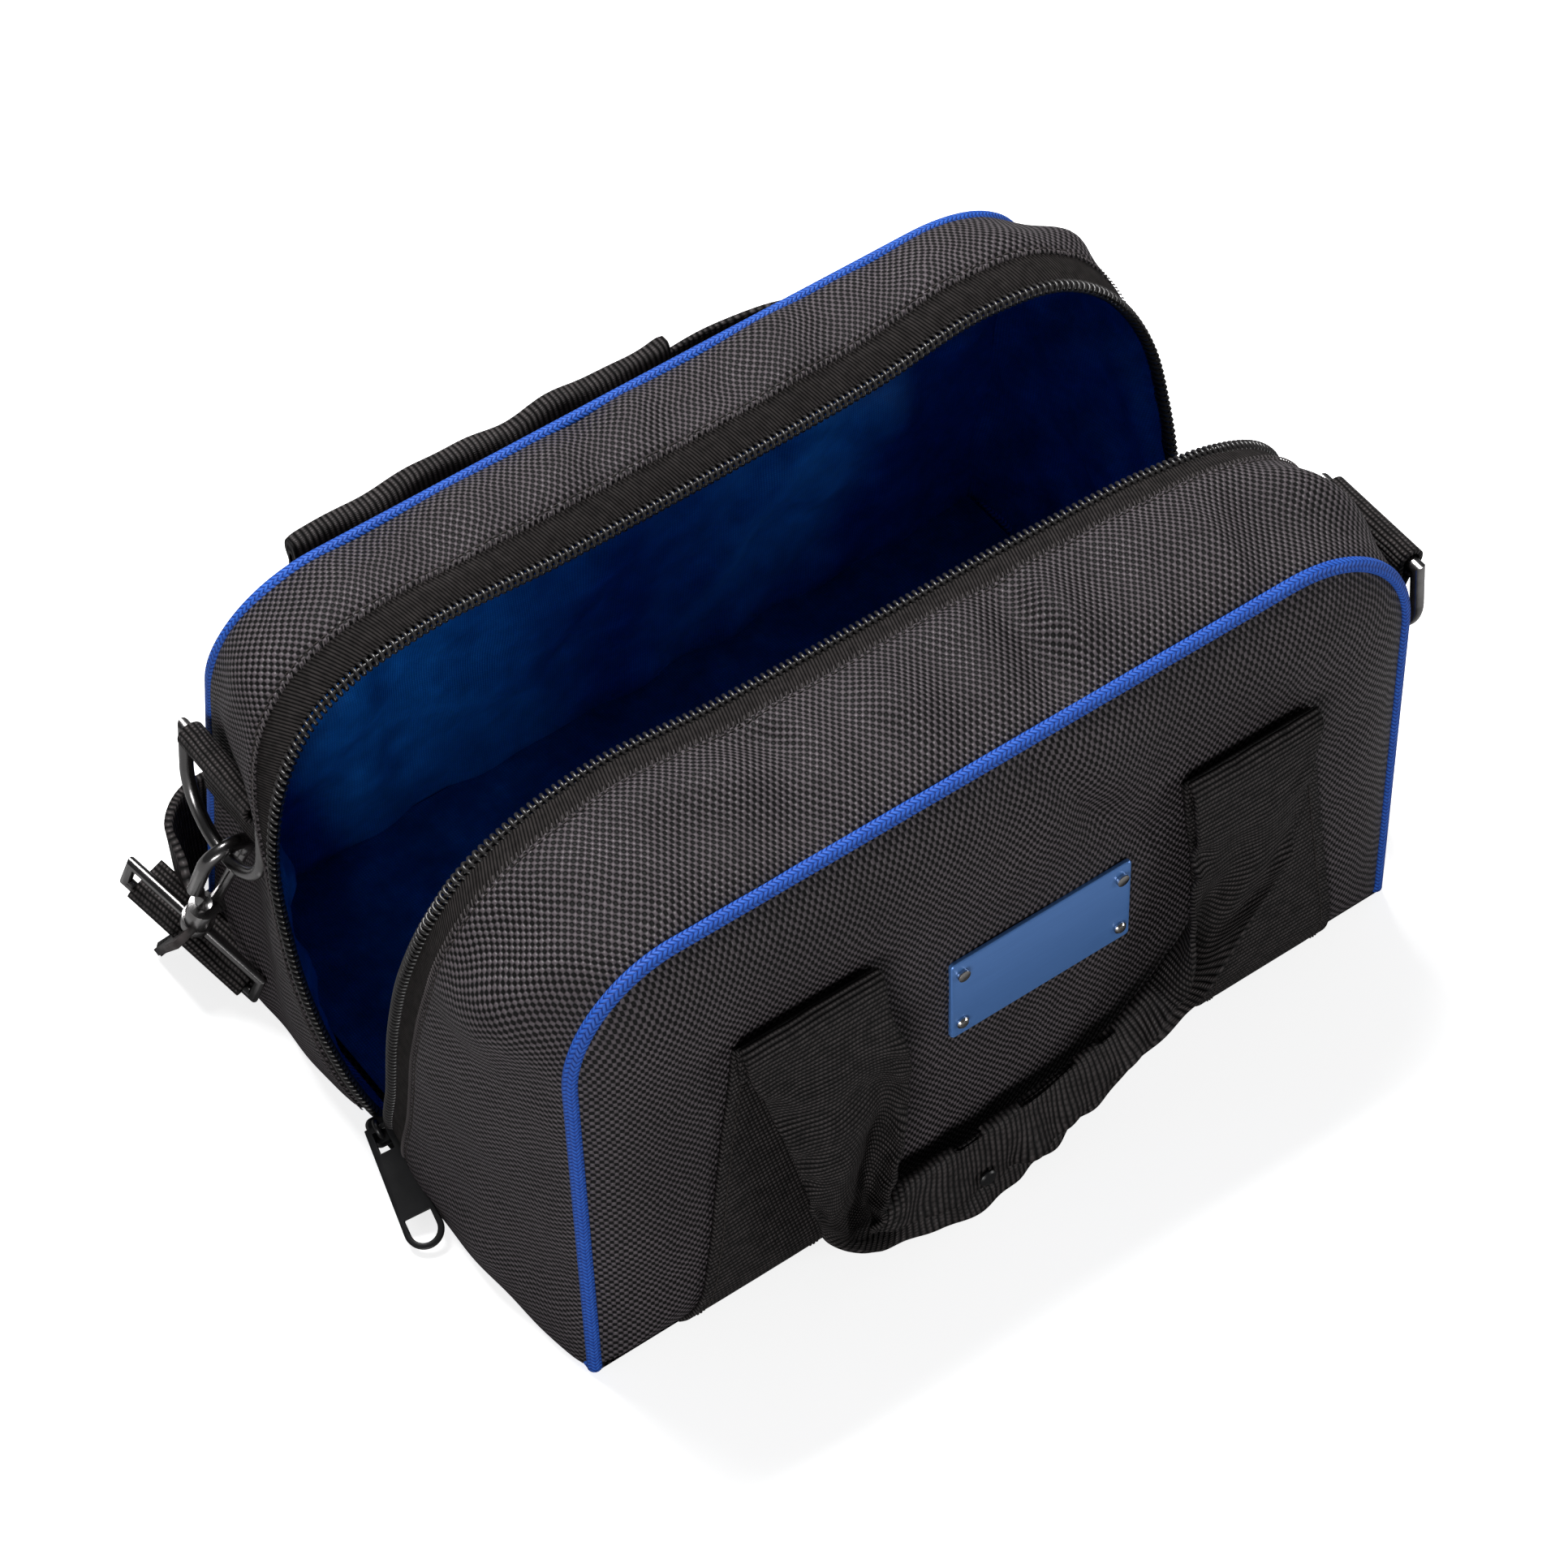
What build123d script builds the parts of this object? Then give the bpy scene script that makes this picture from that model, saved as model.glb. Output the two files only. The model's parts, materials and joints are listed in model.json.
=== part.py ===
from build123d import *
from collections import namedtuple
from math import cos, radians, sin
import os

os.makedirs("parts", exist_ok=True)

# A soft carry bag of padded fabric, standing with its mouth open. X runs along the bag, -Y is its
# front and Z is up. The origin is the middle of the base, on the floor.

# Body of the bag
BODY_LENGTH = 308.0        # over the two end gussets
BASE_DEPTH = 218.0         # front seam to back seam at the floor
PANEL_HEIGHT = 180.0       # along the slope of a panel, floor to top seam
TOP_CORNER_R = 42.0        # upper corners of the panels
FLARE_TOP = 15.0           # how far an end gusset spreads from its seam to the zip, at the top
FLARE_FOOT = 5.0           # and at the floor
CLEAR = 0.3                # between pieces that move past each other
SEAT = 0.1                 # between soft pieces sewn onto each other

# Layers of the wall, outside to inside
SKIN = 1.2                 # ballistic cloth
FOAM = 3.0                 # padding of the gussets
LINING = 0.6
TAPE = 0.8                 # zip tape
BOARD = 2.0                # stiffener in the base

# Zip
ZIP_FOOT = 10.0            # height of the zip's lower ends
CROWN = 6.0                # swell of the top between a panel's seam and the zip
COIL = 3.2                 # width and thickness of one row of coil
TAPE_WIDTH = 14.0
TAPE_SHOWN = 5.5           # bare tape between coil and cloth
LINING_BACK = 4.5          # the lining stops short of the coil

# Piping
PIPING_R = 2.0

# Domed panels: how far each step of the dome is drawn in, as a share of its depth
DOME_STEPS = ((0.0, 0.0), (10.0, 0.6), (32.0, 1.0))

# Name plate
PLATE_LENGTH = 68.5
PLATE_HEIGHT = 35.5
PLATE_T = 1.6
PLATE_MID = (5.0, 99.0)    # its middle, across and up the panel
PLATE_CORNER_R = 1.5
RIVET_R = 2.2
RIVET_INSET = (4.0, 6.0)
RIVET_DOME = 1.2

# Carry handles
WEBBING = 50.0             # width of the webbing
WEBBING_T = 2.4            # webbing sewn double
LEG_TOP_X = 83.0           # middle of a leg at its top
LEG_FOOT_X = 101.0         # middle of a leg at its foot
FRONT_LEG_TOP = 138.0
BACK_LEG_TOP = 91.0
LEG_FOOT = 6.0
HANG = 112.0               # front strip, from its fold down
STRIP_FOOT = 28.0          # width of a hanging strip at its foot
FOLD_OUT = 2.5             # hinge line of a handle, off the face of its leg
GRIP_WIDTH = 22.0
GRIP_T = 7.0
GRIP_SAG = ((-66.0, 22.0), (-38.0, 15.5), (-8.0, 20.0), (28.0, 36.0), (66.0, 53.0))
SNAP_AT = (-23.0, 17.0)
BACK_RISE = 59.0           # back handle, from its fold up
WRAP_LENGTH = 142.0
WRAP_HEIGHT = 62.0
WRAP_T = 13.5
WRAP_SHIFT = -41.0         # middle of the wrap along X
SNAP_R = 3.2

# Rings, hooks and loops of the shoulder strap
TAB_WIDTH = 38.0
TAB_LENGTH = 30.0
TAB_T = 2.5
RING_R = 2.3               # wire of a D-ring
RING_WIDTH = 44.0          # between the middles of its two sides
RING_SIDE = 17.0           # straight part of a side
RING_LEAN = 5.0            # lean away from the bag
LEFT_RING = (69.0, 122.0)  # y and z of the left ring's bar
RIGHT_RING = (-78.0, 146.0)
HOOK_WIRE = 2.5
HOOK_BOW = 8.0             # radius of the hook's bow
HOOK_LENGTH = 42.0         # from the bow's centre to the barrel
BARREL_R = 5.0
BARREL_LENGTH = 10.0
GATE_R = 2.0
LOOP_WIRE = 1.9
LOOP_WIDTH = 56.0
LOOP_HEIGHT = 14.0
COLLAR_R = 5.5
COLLAR_T = 2.2
STRAP_WIDTH = 48.0
STRAP_T = 1.6              # one layer; the strap is doubled back on itself
STRAP_TAIL = 8.0           # the fold around a loop's bar, past the bar
STRAP_REAR = 16.0          # from the foot of the back panel out to the strap
STRAP_EASE = 40.0          # along the back, from the left end to where the strap runs straight
STRAP_TURN = ((14.0, 8.0), (24.0, 34.0))  # rear right corner: past the end, in from the rear
STRAP_SIDE = 26.0          # off the right end, half way along it
ADJUSTER = (26.0, 9.0, 57.0)
ADJUSTER_X = 55.0

# Zip slider and pull
SLIDER_SIZE = (10.0, 7.5, 4.0)
BRIDGE_R = 0.9
PULL_LENGTH = 42.0
PULL_NECK = 8.5
PULL_WIDTH = 13.0
PULL_T = 1.8
PULL_RIM = 2.0
PULL_WINDOW = 8.0          # far end of the window that takes the slider's bridge
PULL_HOLE_SIDE = 5.0       # straight part of the finger hole
STOP = (1.2, 12.0, 8.0)

# One half of the bag: which way it faces, lean of its panel, opening of its lip, length of its lip
# from the zip's lower ends up to the top run, depth of its dome
Half = namedtuple("Half", "sign lean mouth slant dome")
FRONT = Half(-1, 1.2, 14.7, PANEL_HEIGHT + 1.0, 12.0)
BACK = Half(1, 9.1, 12.1, PANEL_HEIGHT - 8.0, 8.0)

BASE_T = SKIN + BOARD + LINING
HALF_FOOT = BASE_T + CLEAR
WALL = SKIN + FOAM + LINING
REACH = 30.0               # how far a cutting block runs past what it opens


def export(builder, name):
    builder.part.label = name
    export_step(builder.part, f"parts/{name}.step")


def unit(x, y, z):
    return Vector(x, y, z).normalized()


# --- outline of a half, seen from the side -------------------------------------------------------
def crossing(a, b):
    """Where two lines cross. A line is a point and a direction in the side view."""
    (ax, ay), (au, av) = a
    (bx, by), (bu, bv) = b
    step = ((bx - ax) * bv - (by - ay) * bu) / (au * bv - av * bu)
    return ax + step * au, ay + step * av


def shifted(start, end, inward):
    """The line from start to end, moved to its left by inward."""
    run, rise = end[0] - start[0], end[1] - start[1]
    size = (run * run + rise * rise) ** 0.5
    return (start[0] - rise / size * inward, start[1] + run / size * inward), (run, rise)


def side_points(half, seam, near, foot):
    """Corners of a half in the side view, measured outwards from the zip's plane."""
    bottom = (BASE_DEPTH / 2, 0.0)
    top = (bottom[0] - PANEL_HEIGHT * sin(radians(half.lean)), PANEL_HEIGHT * cos(radians(half.lean)))
    apex = (0.0, ZIP_FOOT)
    lip = (half.slant * sin(radians(half.mouth)), ZIP_FOOT + half.slant * cos(radians(half.mouth)))
    panel_line = shifted(bottom, top, seam)
    above = max(top[1], lip[1]) + CROWN + REACH
    top_line = ((0.0, above), (1.0, 0.0))
    lip_line = shifted(lip, apex, near)
    upright = ((min(near, CLEAR), 0.0), (0.0, 1.0))
    floor_line = ((0.0, foot), (1.0, 0.0))
    corners = [
        crossing(floor_line, panel_line),
        crossing(panel_line, top_line),
        crossing(top_line, lip_line),
    ]
    lip_foot = crossing(lip_line, floor_line)
    if lip_foot[0] > upright[0][0]:
        return corners + [lip_foot]
    return corners + [crossing(lip_line, upright), crossing(upright, floor_line)]


def arch(width, height, corner, foot, spread=0.0, foot_spread=0.0):
    """Rectangle with round upper corners, standing on foot, its sides spread at the top and foot."""
    side = width / 2 + spread
    foot_side = width / 2 + foot_spread
    shoulder = height - corner
    with BuildLine() as edge:
        Line((-foot_side, foot), (-side, shoulder))
        RadiusArc((-side, shoulder), (-side + corner, height), corner)
        Line((-side + corner, height), (side - corner, height))
        RadiusArc((side - corner, height), (side, shoulder), corner)
        Line((side, shoulder), (foot_side, foot))
        Line((foot_side, foot), (-foot_side, foot))
    make_face(edge.edges())


def flare(height):
    """How far the zip stands out past the seam at an end of the bag."""
    return FLARE_FOOT + (FLARE_TOP - FLARE_FOOT) * height / (PANEL_HEIGHT - TOP_CORNER_R)


def end_to_end(half, inset):
    """What lies between the end gussets, which spread apart from the seam to the zip."""
    lean = radians(half.lean)
    seam = Plane(
        origin=(0, half.sign * BASE_DEPTH / 2, 0),
        x_dir=(1, 0, 0),
        z_dir=(0, -cos(lean), -half.sign * sin(lean)),
    )
    panel_top = PANEL_HEIGHT * cos(lean)
    panel_top_y = BASE_DEPTH / 2 - PANEL_HEIGHT * sin(lean)
    lip_top = ZIP_FOOT + half.slant * cos(radians(half.mouth))
    lip_top_y = half.slant * sin(radians(half.mouth))
    middle = (panel_top_y + lip_top_y) / 2
    crown_top = (panel_top + lip_top) / 2 + CROWN
    past_top = crown_top + (lip_top - crown_top) * (middle + REACH) / (middle - lip_top_y)
    run = 1 + REACH / (BASE_DEPTH / 2)
    width = BODY_LENGTH - 2 * inset
    corner = TOP_CORNER_R - inset
    low = -2 * REACH
    shoulder = crown_top - TOP_CORNER_R
    with BuildPart() as between:
        with BuildSketch(seam):
            arch(width, PANEL_HEIGHT - inset, corner, low)
        with BuildSketch(Plane.XZ.offset(-half.sign * middle)):
            top_spread = end_face(half, middle, shoulder) - BODY_LENGTH / 2
            foot_spread = end_face(half, middle, low) - BODY_LENGTH / 2
            arch(width, crown_top - inset, corner, low, top_spread, foot_spread)
        with BuildSketch(Plane.XZ.offset(half.sign * REACH)):
            top_spread = flare(past_top - TOP_CORNER_R) * run
            arch(width, past_top - inset, corner, low, top_spread, flare(low) * run)
        loft(ruled=True)
        with BuildSketch(seam):
            arch(width, PANEL_HEIGHT - inset, corner, low)
        extrude(amount=-half.sign * REACH)
    return between.part


def half_block(half, inset, seam, near, foot=HALF_FOOT):
    """Solid half of the bag, drawn in by inset at the ends and top and by seam at the panel."""
    points = [(half.sign * y, z) for y, z in side_points(half, seam, near, foot)]
    with BuildPart() as block:
        with BuildSketch(Plane.YZ):
            with BuildLine():
                Polyline(*points, close=True)
            make_face()
        extrude(amount=BODY_LENGTH, both=True)
        add(end_to_end(half, inset), mode=Mode.INTERSECT)
    return block.part


def half_layer(half, outer, inner, near, seam=0.0, inner_seam=-REACH):
    """One layer of a half's wall, open at the mouth, the base and, unless it has a seam, the panel."""
    with BuildPart() as layer:
        add(half_block(half, outer, seam, near))
        inside = half_block(half, inner, inner_seam, -REACH, HALF_FOOT - REACH)
        add(inside, mode=Mode.SUBTRACT)
    return layer.part


def lip_band(half, outer, inner, near, far):
    """The strip of a layer between two distances behind the lip."""
    with BuildPart() as band:
        add(half_layer(half, outer, inner, near))
        beyond = half_block(half, -REACH, -REACH, far, HALF_FOOT - REACH)
        add(beyond, mode=Mode.SUBTRACT)
    return band.part


# --- panels --------------------------------------------------------------------------------------
def panel_plane(half):
    """The plane of a panel's seam: its Y runs up the panel and its Z points out of the bag."""
    lean = radians(half.lean)
    return Plane(
        origin=(0, half.sign * BASE_DEPTH / 2, 0),
        x_dir=(-half.sign, 0, 0),
        z_dir=(0, half.sign * cos(lean), sin(lean)),
    )


def dome(half, shrink=0.0, lift=0.0):
    """Padded panel: a low dome on the seam's outline, made smaller by shrink or moved out by lift."""
    plane = panel_plane(half)
    with BuildPart() as pad:
        for drawn_in, share in DOME_STEPS:
            depth = share * (half.dome - shrink) + lift
            inset = drawn_in + shrink
            with BuildSketch(plane.offset(depth)):
                arch(
                    BODY_LENGTH - 2 * inset,
                    PANEL_HEIGHT - inset,
                    TOP_CORNER_R - inset,
                    HALF_FOOT + inset,
                )
        loft(ruled=True)
    return pad.part


def panel_nodes(half, name):
    with BuildPart() as foam:
        add(dome(half, shrink=SKIN))
    export(foam, f"{name}_panel_foam")

    with BuildPart() as skin:
        add(dome(half))
        add(dome(half, shrink=SKIN), mode=Mode.SUBTRACT)
    export(skin, f"{name}_panel")


def gusset_nodes(half, name):
    coil_end = CLEAR + COIL
    with BuildPart() as gusset:
        add(half_layer(half, 0.0, SKIN, coil_end + TAPE_SHOWN))
    export(gusset, f"{name}_gusset")

    with BuildPart() as foam:
        add(half_layer(half, SKIN, SKIN + FOAM, coil_end + TAPE_WIDTH))
    export(foam, f"{name}_gusset_foam")

    with BuildPart() as lining:
        add(half_layer(half, SKIN + FOAM, WALL, LINING_BACK, inner_seam=LINING))
    export(lining, f"{name}_lining")

    with BuildPart() as tape:
        add(lip_band(half, SKIN, SKIN + TAPE, coil_end, coil_end + TAPE_WIDTH))
    export(tape, f"{name}_zip_tape")

    with BuildPart() as coil:
        middle = SKIN + TAPE / 2
        add(lip_band(half, middle - COIL / 2, middle + COIL / 2, CLEAR, coil_end))
    export(coil, f"{name}_zip_coil")


def piping_node(half, name):
    """Cord sewn into the seam around a panel, just outside the gusset."""
    out = PIPING_R + SEAT
    side = BODY_LENGTH / 2 + out
    top = PANEL_HEIGHT + out
    corner = TOP_CORNER_R + out
    foot = HALF_FOOT + PIPING_R + CLEAR
    plane = panel_plane(half)
    with BuildPart() as piping:
        with BuildLine(plane) as route:
            Line((-side, foot), (-side, top - corner))
            RadiusArc((-side, top - corner), (-side + corner, top), corner)
            Line((-side + corner, top), (side - corner, top))
            RadiusArc((side - corner, top), (side, top - corner), corner)
            Line((side, top - corner), (side, foot))
        with BuildSketch(Plane(route.line @ 0, z_dir=route.line % 0)):
            Circle(PIPING_R)
        sweep(path=route.line)
    export(piping, f"{name}_piping")


# --- base ----------------------------------------------------------------------------------------
def base_nodes():
    with BuildPart() as bottom_panel:
        with BuildSketch():
            Rectangle(BODY_LENGTH, BASE_DEPTH)
        extrude(amount=SKIN)
    export(bottom_panel, "bottom_panel")

    with BuildPart() as base_board:
        with BuildSketch(Plane.XY.offset(SKIN)):
            RectangleRounded(BODY_LENGTH - 2 * WALL, BASE_DEPTH - 2 * WALL, 2 * WALL)
        extrude(amount=BOARD)
    export(base_board, "base_board")

    with BuildPart() as bottom_lining:
        with BuildSketch(Plane.XY.offset(SKIN + BOARD)):
            Rectangle(BODY_LENGTH - 2 * SKIN, BASE_DEPTH)
        extrude(amount=LINING)
    export(bottom_lining, "bottom_lining")

    side = BODY_LENGTH / 2 + PIPING_R + SEAT
    with BuildPart() as base_piping:
        with BuildSketch(Plane.XZ):
            with Locations((-side, PIPING_R), (side, PIPING_R)):
                Circle(PIPING_R)
        extrude(amount=BASE_DEPTH / 2, both=True)
    export(base_piping, "base_piping")


# --- name plate ----------------------------------------------------------------------------------
def plate_nodes():
    face = panel_plane(FRONT).offset(FRONT.dome + SEAT)
    with BuildPart() as nameplate:
        with BuildSketch(face):
            with Locations((-PLATE_MID[0] * FRONT.sign, PLATE_MID[1])):
                RectangleRounded(PLATE_LENGTH, PLATE_HEIGHT, PLATE_CORNER_R)
        extrude(amount=PLATE_T)
        chamfer(nameplate.faces().sort_by(Axis.Y)[0].edges(), PLATE_T / 4)
    export(nameplate, "nameplate")

    spacing = (PLATE_LENGTH - 2 * RIVET_INSET[0], PLATE_HEIGHT - 2 * RIVET_INSET[1])
    with BuildPart() as nameplate_rivets:
        with BuildSketch(face.offset(PLATE_T + SEAT)):
            with Locations((-PLATE_MID[0] * FRONT.sign, PLATE_MID[1])):
                with GridLocations(*spacing, 2, 2):
                    Circle(RIVET_R)
        extrude(amount=RIVET_DOME)
        outer = nameplate_rivets.faces().group_by(Axis.Y)[0].edges()
        chamfer(outer, RIVET_DOME / 2)
    export(nameplate_rivets, "nameplate_rivets")


# --- handles -------------------------------------------------------------------------------------
def leg_node(half, side, top, name):
    """Webbing sewn flat on a panel, from its foot up to the fold of the handle."""
    half_width = WEBBING / 2
    with BuildPart() as leg:
        add(dome(half, lift=WEBBING_T + SEAT))
        add(dome(half, lift=SEAT), mode=Mode.SUBTRACT)
        with BuildSketch(panel_plane(half)):
            Polygon(
                (side * LEG_FOOT_X - half_width, LEG_FOOT),
                (side * LEG_FOOT_X + half_width, LEG_FOOT),
                (side * LEG_TOP_X + half_width, top),
                (side * LEG_TOP_X - half_width, top),
                align=None,
            )
        extrude(amount=4 * half.dome, both=True, mode=Mode.INTERSECT)
    export(leg, name)


def fold_line(half, height):
    """Hinge line of a handle: a point on it, in the middle of the bag."""
    out = half.dome + SEAT + WEBBING_T + FOLD_OUT
    return panel_plane(half).from_local_coords(Vector(0, height + WEBBING_T, out))


def front_handle_nodes():
    fold = fold_line(FRONT, FRONT_LEG_TOP)
    back_of_strip = Plane.XZ.offset(-fold.Y)
    foot = fold.Z - HANG
    for side, name in ((-1, "left"), (1, "right")):
        mid_foot = LEG_TOP_X - (WEBBING - STRIP_FOOT) / 4
        with BuildPart() as strip:
            with BuildSketch(back_of_strip):
                Polygon(
                    (side * LEG_TOP_X - WEBBING / 2, fold.Z),
                    (side * LEG_TOP_X + WEBBING / 2, fold.Z),
                    (side * mid_foot + STRIP_FOOT / 2, foot),
                    (side * mid_foot - STRIP_FOOT / 2, foot),
                    align=None,
                )
            extrude(amount=WEBBING_T)
        export(strip, f"front_strip_{name}")

    with BuildPart() as front_grip:
        with BuildSketch(back_of_strip.offset(WEBBING_T + CLEAR)):
            with BuildLine() as sag:
                Spline(*GRIP_SAG)
            trace(sag.line, line_width=GRIP_WIDTH)
        extrude(amount=GRIP_T)
    export(front_grip, "front_grip")

    with BuildPart() as grip_snap:
        with BuildSketch(back_of_strip.offset(WEBBING_T + CLEAR + GRIP_T + SEAT)):
            with Locations(SNAP_AT):
                Circle(SNAP_R)
        extrude(amount=RIVET_DOME)
        chamfer(grip_snap.faces().sort_by(Axis.Y)[0].edges(), RIVET_DOME / 2)
    export(grip_snap, "grip_snap")


def back_handle_nodes():
    fold = fold_line(BACK, BACK_LEG_TOP)
    face = Plane.XZ.offset(-fold.Y)
    crown = fold.Z + BACK_RISE
    reach = LEG_TOP_X + WEBBING / 2
    gap = LEG_TOP_X - WEBBING / 2
    with BuildPart() as back_handle_webbing:
        with BuildSketch(face):
            with BuildLine():
                Polyline(
                    (-reach, fold.Z),
                    (-gap, fold.Z),
                    (-gap, crown - WEBBING),
                    (gap, crown - WEBBING),
                    (gap, fold.Z),
                    (reach, fold.Z),
                    (reach, crown),
                    (-reach, crown),
                    close=True,
                )
            make_face()
        extrude(amount=-WEBBING_T)
        uprights = back_handle_webbing.edges().filter_by(Axis.Y).group_by(Axis.Z)[-1]
        fillet(uprights, WEBBING / 3)
    export(back_handle_webbing, "back_handle_webbing")

    with BuildPart() as grip_wrap:
        with BuildSketch(Plane.YZ.offset(WRAP_SHIFT)):
            with Locations((fold.Y + WEBBING_T / 2, crown - WEBBING / 2)):
                RectangleRounded(WRAP_T, WRAP_HEIGHT, WRAP_T / 2.1)
            with Locations((fold.Y + WEBBING_T / 2, crown + CLEAR - WRAP_HEIGHT / 2)):
                Rectangle(WEBBING_T + 2 * CLEAR, WRAP_HEIGHT, mode=Mode.SUBTRACT)
        extrude(amount=WRAP_LENGTH / 2, both=True)
    export(grip_wrap, "grip_wrap")


# --- rings, hooks and loops ----------------------------------------------------------------------
def end_face(half, y, z):
    """How far the outside of an end gusset lies from the middle of the bag."""
    seam_y = BASE_DEPTH / 2 - z * sin(radians(half.lean)) / cos(radians(half.lean))
    run = 1 + REACH / (BASE_DEPTH / 2)
    return BODY_LENGTH / 2 + flare(z) * run * (seam_y - abs(y)) / (seam_y + REACH)


def bar_centre(side, place):
    """Middle of a D-ring's bar. side is -1 at the left end of the bag and 1 at the right."""
    half = BACK if side < 0 else FRONT
    roll = RING_R + CLEAR + TAB_T
    y, z = place
    widest = end_face(half, abs(y) - TAB_WIDTH / 2, z)
    return Vector(side * (widest + CLEAR + roll), y, z)


def tab_node(side, place, name):
    """Webbing sewn onto the gusset and rolled around the bar of the ring."""
    bar = bar_centre(side, place)
    bore = RING_R + CLEAR
    roll = bore + TAB_T
    with BuildPart() as tab:
        with BuildSketch(Plane.XZ.offset(-bar.Y)):
            with Locations((bar.X, bar.Z)):
                Circle(roll)
            with Locations((bar.X - side * (roll - TAB_T / 2), bar.Z - TAB_LENGTH / 2)):
                Rectangle(TAB_T, TAB_LENGTH)
            with Locations((bar.X, bar.Z)):
                Circle(bore, mode=Mode.SUBTRACT)
        extrude(amount=TAB_WIDTH / 2, both=True)
    export(tab, name)


def ring_down(side):
    return unit(side * sin(radians(RING_LEAN)), 0, -cos(radians(RING_LEAN)))


def ring_bottom(side, place):
    """Middle of the wire at the lowest point of a hanging D-ring."""
    return bar_centre(side, place) + ring_down(side) * (RING_SIDE + RING_WIDTH / 2)


def ring_node(side, place, name):
    bar = bar_centre(side, place)
    up = ring_down(side) * -1
    plane = Plane(origin=bar, x_dir=(0, 1, 0), z_dir=Vector(0, 1, 0).cross(up))
    half_width = RING_WIDTH / 2
    with BuildPart() as ring:
        with BuildLine(plane) as wire:
            Line((0, 0), (half_width, 0))
            Line((half_width, 0), (half_width, -RING_SIDE))
            RadiusArc((half_width, -RING_SIDE), (0, -RING_SIDE - half_width), half_width)
            RadiusArc((0, -RING_SIDE - half_width), (-half_width, -RING_SIDE), half_width)
            Line((-half_width, -RING_SIDE), (-half_width, 0))
            Line((-half_width, 0), (0, 0))
        with BuildSketch(Plane(wire.line @ 0, z_dir=wire.line % 0)):
            Circle(RING_R)
        sweep(path=wire.line, transition=Transition.RIGHT)
    export(ring, name)


# The chain of hook, swivel and loop hangs from a ring. It has a direction, the loop's long side and
# the way that the webbing leaves the loop.
Chain = namedtuple("Chain", "side place down along onward")
LEFT = Chain(-1, LEFT_RING, unit(-0.07, 0.36, -0.93), unit(0.26, -0.86, -0.45), unit(1, 0, 0))
RIGHT = Chain(1, RIGHT_RING, unit(0.12, 0.34, -0.93), unit(0, -0.94, -0.34), unit(0, 0.2, -1))


def chain_plane(chain):
    """Plane of a hook: its Y runs up the chain, and its Z along the wire that it hangs on."""
    up = chain.down * -1
    outward = Vector(chain.side, 0, 0)
    across = (outward - up * outward.dot(up)).normalized()
    return Plane(
        origin=ring_bottom(chain.side, chain.place),
        x_dir=across,
        z_dir=across.cross(up),
    )


def hook_node(chain, name):
    plane = chain_plane(chain)
    with BuildPart() as hook:
        with BuildLine(plane) as spine:
            Line((0, -HOOK_LENGTH), (0, -HOOK_LENGTH + 2))
            Spline(
                (0, -HOOK_LENGTH + 2),
                (HOOK_BOW, -0.45 * HOOK_LENGTH),
                tangents=[(0, 1), (0, 1)],
            )
            Line((HOOK_BOW, -0.45 * HOOK_LENGTH), (HOOK_BOW, 0))
            RadiusArc((HOOK_BOW, 0), (0, HOOK_BOW), -HOOK_BOW)
            RadiusArc((0, HOOK_BOW), (-HOOK_BOW, 0), -HOOK_BOW)
            Line((-HOOK_BOW, 0), (-HOOK_BOW, -4))
        with BuildSketch(Plane(spine.line @ 0, z_dir=spine.line % 0)):
            Circle(HOOK_WIRE)
        sweep(path=spine.line)
        barrel_foot = plane.from_local_coords(Vector(0, -HOOK_LENGTH - BARREL_LENGTH, 0))
        with BuildSketch(Plane(barrel_foot, z_dir=chain.down * -1)):
            Circle(BARREL_R)
        extrude(amount=BARREL_LENGTH)
    export(hook, name)


GATE_PIVOT = (-4.5, -HOOK_LENGTH + GATE_R + CLEAR)
GATE_TIP = (-HOOK_BOW, -4 - CLEAR)


def gate_node(chain, name):
    """Spring gate that closes the side of the hook."""
    plane = chain_plane(chain)
    with BuildPart() as gate:
        with BuildLine(plane) as rod:
            Line(GATE_PIVOT, GATE_TIP)
        with BuildSketch(Plane(rod.line @ 0, z_dir=rod.line % 0)):
            Circle(GATE_R)
        sweep(path=rod.line)
    export(gate, name)


def loop_node(chain, name):
    """Rectangular loop on a swivel below the barrel, which carries the webbing."""
    hook_plane = chain_plane(chain)
    drop = HOOK_LENGTH + BARREL_LENGTH + CLEAR
    collar_top = hook_plane.from_local_coords(Vector(0, -drop, 0))
    up = chain.down * -1
    along = (chain.along - up * chain.along.dot(up)).normalized()
    plane = Plane(origin=collar_top, x_dir=along, z_dir=along.cross(up))
    top = -COLLAR_T - LOOP_WIRE
    foot = top - LOOP_HEIGHT
    half_width = LOOP_WIDTH / 2
    with BuildPart() as loop:
        with BuildLine(plane) as wire:
            Line((0, top), (half_width, top))
            Line((half_width, top), (half_width, foot))
            Line((half_width, foot), (-half_width, foot))
            Line((-half_width, foot), (-half_width, top))
            Line((-half_width, top), (0, top))
        with BuildSketch(Plane(wire.line @ 0, z_dir=wire.line % 0)):
            Circle(LOOP_WIRE)
        sweep(path=wire.line, transition=Transition.RIGHT)
        with BuildSketch(Plane(collar_top, z_dir=chain.down)):
            Circle(COLLAR_R)
        extrude(amount=COLLAR_T + LOOP_WIRE)
    export(loop, name)


def loop_bar(chain):
    """Middle of the loop's lower bar and the direction that it runs in."""
    up = chain.down * -1
    along = (chain.along - up * chain.along.dot(up)).normalized()
    drop = HOOK_LENGTH + BARREL_LENGTH + CLEAR + COLLAR_T + LOOP_WIRE + LOOP_HEIGHT
    return ring_bottom(chain.side, chain.place) + chain.down * drop, along


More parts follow.
